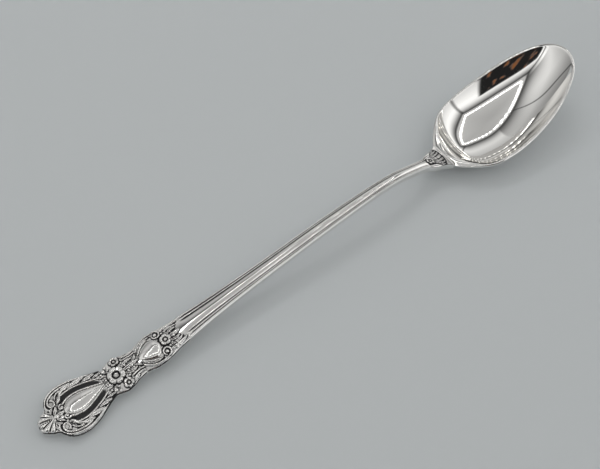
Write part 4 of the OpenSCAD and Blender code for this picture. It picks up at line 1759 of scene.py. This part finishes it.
@dataclass(frozen=True)
class SilverFinish:
    """A silver finish: its colour, how mirror-like it is, and how dark its recesses have gone."""

    name: str
    tone: Colour = (0.9, 0.89, 0.87, 1.0)
    tarnish: Colour = (0.012, 0.012, 0.014, 1.0)
    rough: float = 0.07
    rough_spread: float = 0.05
    tarnish_rough: float = 0.5
    low: float = 0.12
    high: float = 0.7
    bump: float = 0.03
    bump_depth: float = 0.00002
    stippled: bool = False
    stipple_scale: float = 3200.0
    stipple_dark: float = 0.97
    stipple_depth: float = 6.0
    tarnish_shine: float = 0.5

    def build(self, tarnish: Tree, marks: Tree) -> Silver:
        """Make the material.

        Args:
            tarnish: Shared group of the tarnish.
            marks: Shared group of the marks of use.

        Returns:
            The material.
        """
        material, graph, surface = new_material(self.name)
        dark = graph.outs("ShaderNodeGroup", self.low, self.high, node_tree=tarnish)
        used = graph.outs("ShaderNodeGroup", node_tree=marks)
        mask, height = dark["Mask"], used["Height"]
        if self.stippled:
            ground = graph.painted("stipple")
            dots = graph.out("ShaderNodeTexVoronoi", graph.place(), self.stipple_scale)
            mask = graph.math("MAXIMUM", mask, ground * self.stipple_dark)
            height = height + dots * ground * self.stipple_depth
        rough = graph.mix(mask, used["Roughness"] * self.rough_spread + self.rough, self.tarnish_rough)
        normal = graph.bump(self.bump, self.bump_depth, height)
        graph.fill(surface, Base_Color=graph.blend(mask, self.tone, self.tarnish), Roughness=rough,
                   Metallic=mask * -self.tarnish_shine + 1.0, Normal=normal)
        return material


@dataclass(frozen=True)
class Lamp:
    """A soft lamp of the studio."""

    name: str
    at: tuple[float, float, float]
    aim: tuple[float, float, float]
    size: tuple[float, float]
    watts: float

    def build(self) -> Thing:
        """Make the lamp and point it.

        Returns:
            The lamp, hidden from reflections.
        """
        data = bpy.data.lights.new(self.name, "AREA")
        data.shape = "RECTANGLE"
        data.size, data.size_y = self.size
        data.energy = self.watts
        thing = stand(self.name, data)
        thing.location = self.at
        thing.rotation_euler = (Vector(self.aim) - Vector(self.at)).to_track_quat("-Z", "Y").to_euler()
        thing.visible_glossy = False
        return thing


@dataclass
class Studio:
    """The pale floor, the lamp, the surroundings and the camera of the photograph."""

    floor_half: float = 1.5
    floor_rough: float = 0.85
    floor_gloss: float = 0.1
    grain_scale: float = 900.0
    grain_bump: tuple[float, float] = (0.04, 0.0002)
    floor_tone: Colour = (0.625, 0.655, 0.667, 1.0)
    backdrop_tone: Colour = (0.39, 0.405, 0.41, 1.0)
    world_tone: Colour = (1.0, 1.0, 0.99, 1.0)
    tent_turn: float = 107.0
    tent_half: tuple[float, float, float] = (1.0, 1.1, 1.25)
    near_half: float = 0.78
    slant: tuple[float, float] = (-1.17, -1.75)
    slant_brow: float = 0.3
    slant_tone: float = 0.69
    slant_bend: float = 0.5
    wall_tones: tuple[float, float] = (0.52, 1.15)
    brow: tuple[float, float] = (0.5, 0.12)
    roof_tones: tuple[float, float] = (0.4, 0.57)
    strip_at: float = 0.78
    strip_half: float = 0.046
    strip_light: float = 6.5
    strip_low: float = 0.6
    strip_core: float = 0.4
    strip_base: float = 0.1
    bulbs: float = 75.0
    seam_at: float = 0.96
    seam_edge: tuple[float, float] = (0.02, 0.08)
    seam_tone: float = 0.25
    far_from: tuple[float, float] = (-0.15, -0.8)
    far_tone: float = 0.62
    opening: tuple[float, float, float] = (-0.9, 0.45, 0.62)
    opening_edge: float = 0.06
    opening_top: float = 0.95
    spot_scale: float = 7.0
    spot_edge: tuple[float, float] = (0.6, 0.68)
    room_tones: tuple[float, float] = (0.016, 0.24)
    room_tint: Colour = (1.0, 0.38, 0.13, 1.0)
    eye: tuple[float, float, float] = (-0.12253, -0.14699, 0.29185)
    elevation: float = 56.186
    heading: float = 37.884
    tilt: float = -0.33
    lens: float = 72.03
    sensor_w: float = 36.0
    clip: tuple[float, float] = (0.01, 20.0)
    lamp: Lamp = Lamp("key", (0.13, 0.43, 0.75), (0.0, 0.0, 0.0), (0.5, 0.05), 0.6)

    def floor(self) -> Thing:
        """Make the floor.

        Returns:
            The floor, with a paper surface.
        """
        mesh = bpy.data.meshes.new("floor")
        half = self.floor_half
        corners = [(x * half, y * half, 0.0) for x, y in ((-1, -1), (1, -1), (1, 1), (-1, 1))]
        mesh.from_pydata(corners, [], [(0, 1, 2, 3)])
        material, graph, surface = new_material("pale paper")
        grain = graph.noise(graph.place(), self.grain_scale, 3.0, 0.6)
        graph.fill(surface, Base_Color=self.floor_tone, Roughness=self.floor_rough,
                   Specular_IOR_Level=self.floor_gloss, Normal=graph.bump(*self.grain_bump, grain))
        mesh.materials.append(material)
        return stand("floor", mesh)

    def tent(self, graph: Graph) -> tuple[Wire, Wire]:
        """Say how bright the light tent round the spoon is in each direction.

        Args:
            graph: The world's graph.

        Returns:
            The brightness, of walls, a ceiling with a ring of light strips, dark seams and a dark opening;
            and a mask of the warm spots in the opening.
        """
        way = graph.place("Generated")
        turned = graph.out("ShaderNodeVectorRotate", way, None, (0.0, 0.0, 1.0), math.radians(self.tent_turn))
        right, away, up = graph.axes(turned)
        ahead = graph.math("MAXIMUM", right, TINY)
        side = graph.math("MAXIMUM", right / self.tent_half[0], right / -self.near_half)
        end = abs(away) / self.tent_half[1]
        above = graph.math("MAXIMUM", up, TINY) / self.tent_half[2]
        slant = right * self.slant[0] + away * self.slant[1]
        square = graph.math("MAXIMUM", side, end)
        around = graph.math("SMOOTH_MAX", square, slant, self.slant_bend)
        height, ring = above / graph.math("MAXIMUM", around, TINY), around / above
        sloped, on_roof = slant > square, above > around
        start = graph.mix(sloped, self.brow[0], self.slant_brow)
        wall = graph.ramp(height, 0.0, start, *self.wall_tones) * graph.mix(sloped, 1.0, self.slant_tone)
        wall = wall * graph.ramp(height, start, 1.0, 1.0, self.brow[1], kind="SMOOTHSTEP")
        tent = graph.mix(on_roof, wall, graph.ramp(ring, 0.0, 1.0, *self.roof_tones))
        off = abs(ring - self.strip_at) * graph.mix(sloped, 1.0, 1 / math.hypot(*self.slant))
        bulb = graph.math("SINE", graph.math("MINIMUM", side, end) / above * self.bulbs)
        glow = bulb * self.strip_light + self.strip_base * self.strip_light
        glow = graph.math("MAXIMUM", glow, self.strip_low)
        tent = tent + graph.ramp(off, self.strip_half, self.strip_half * self.strip_core, 0.0, glow)
        beside = abs(abs(right / away) - self.seam_at)
        gap = graph.math("MINIMUM", beside + on_roof, abs(height - 1.0))
        tent = tent * graph.ramp(gap, *self.seam_edge, self.seam_tone, 1.0)
        tent = tent * graph.ramp(right, *self.far_from, 1.0, self.far_tone)
        across, (left, far, top) = away / ahead, self.opening
        inside = graph.ramp(across, left, left + self.opening_edge, 0.0, 1.0)
        inside = inside * graph.ramp(across, far, far - self.opening_edge, 0.0, 1.0)
        inside = inside * graph.ramp(height, top, top * self.opening_top, 0.0, 1.0) * (right > 0.0)
        spots = graph.ramp(graph.noise(way, self.spot_scale, 2.0, 0.5), *self.spot_edge, 0.0, 1.0)
        return graph.mix(inside, tent, graph.mix(spots, *self.room_tones)), inside * spots

    def world(self) -> None:
        """Set the light tent that surrounds the spoon."""
        world = bpy.data.worlds.new("light tent")
        world.use_nodes = True
        graph = Graph(world.node_tree)
        seen = graph.outs("ShaderNodeLightPath")["Is Camera Ray"]
        bright, spots = self.tent(graph)
        warm = graph.blend(spots, self.world_tone, self.room_tint)
        graph.fill(world.node_tree.nodes["Background"], Color=graph.blend(seen, warm, self.backdrop_tone),
                   Strength=graph.mix(seen, bright, 1.0))
        bpy.context.scene.world = world

    def camera(self) -> Thing:
        """Set the camera where the photograph was taken from.

        Returns:
            The camera.
        """
        data = bpy.data.cameras.new("photo")
        data.lens, data.sensor_width = self.lens, self.sensor_w
        data.sensor_fit = "HORIZONTAL"
        data.clip_start, data.clip_end = self.clip
        thing = stand("photo", data)
        place = Matrix.Translation(self.eye)
        for angle, axis in ((-self.heading, "Z"), (90 - self.elevation, "X"), (self.tilt, "Z")):
            place = place @ Matrix.Rotation(math.radians(angle), 4, axis)
        thing.matrix_world = place
        bpy.context.scene.camera = thing
        return thing

    def build(self) -> None:
        """Build the whole studio."""
        self.floor()
        self.world()
        self.camera()
        self.lamp.build()
        bpy.context.scene.view_settings.view_transform = "Standard"


@dataclass
class Spoon:
    """The whole spoon: its struck metal and every part of its relief."""

    relief: Relief
    bright: Silver
    aged: Silver
    ground: Silver
    rubbed: Silver

    def keep(self, thing: Thing, node: str, slot: Slot, silver: Silver) -> None:
        """Dress a part, tie it to the CAD part it stands for, and report it.

        Args:
            thing: The part.
            node: The CAD part.
            slot: The record's material slot; not used.
            silver: The part's material.
        """
        thing.name = f"{node}_piece"
        thing.data.materials.clear()
        thing.data.materials.append(silver)
        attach(thing, BODY)
        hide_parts(node)
        thing.data.calc_loop_triangles()
        LOG.info("%s: %d triangles", thing.name, len(thing.data.loop_triangles))

    def metal(self) -> None:
        """Build the bowl, neck, stem and handle."""
        loft, polished = loft_tree(), Slot.POLISHED
        stem_at, neck_at, heel_at = BLANK.stem_at, BLANK.neck_at, BLANK.heel_at
        stem = Shaft("stem", stem_at, neck_at, loft, ((stem_at, 0.1), (stem_at + 2.5, 1), (neck_at, 1)))
        fade = (neck_at, 1), (neck_at + 5, 0.9), (neck_at + 8, 0.35), (heel_at, 0)
        neck = Shaft("neck", neck_at, heel_at, loft, fade, 0.25)
        self.keep(Bowl().build(), "bowl", polished, self.bright)
        self.keep(neck.build(self.aged, self.relief), "neck", polished, self.aged)
        self.keep(stem.build(self.bright, self.relief), "stem", polished, self.bright)
        self.keep(Handle(self.relief).build(), "handle", polished, self.ground)

    def ornament(self) -> None:
        """Build every part of the relief."""
        strands, leaves = strand_tree(), leaf_tree()
        grown = ("end_scrolls", "crescent_threads", "oval_border", "beads", "waist_reeds", "upper_volutes")
        for node in self.relief.motifs:
            if node in grown:
                thing = Strands(self.relief, node, strands).build(self.aged)
            elif node == "husk_borders":
                thing = LeafRow(self.relief, node, leaves).build(self.aged)
            else:
                thing = Patch(self.relief, node).build()
            plain = node in ("oval_panel", "upper_panel")
            self.keep(thing, node, *((Slot.POLISHED, self.rubbed) if plain else (Slot.ANTIQUE, self.aged)))


def main() -> None:
    """Build the spoon and its studio in order."""
    logging.basicConfig(level=logging.INFO, format="%(message)s")
    tarnish, marks = tarnish_group(), marks_group()
    aged = SilverFinish("antique silver", AGED_TONE, low=0.18, high=0.66)
    finishes = (SilverFinish("polished silver", rough=0.05), aged,
                replace(aged, name="silver with stippled ground", stippled=True),
                SilverFinish("rubbed silver", rough=0.14))
    spoon = Spoon(Relief(), *(finish.build(tarnish, marks) for finish in finishes))
    spoon.metal()
    spoon.ornament()
    Studio().build()


if __name__ == "__main__":
    main()
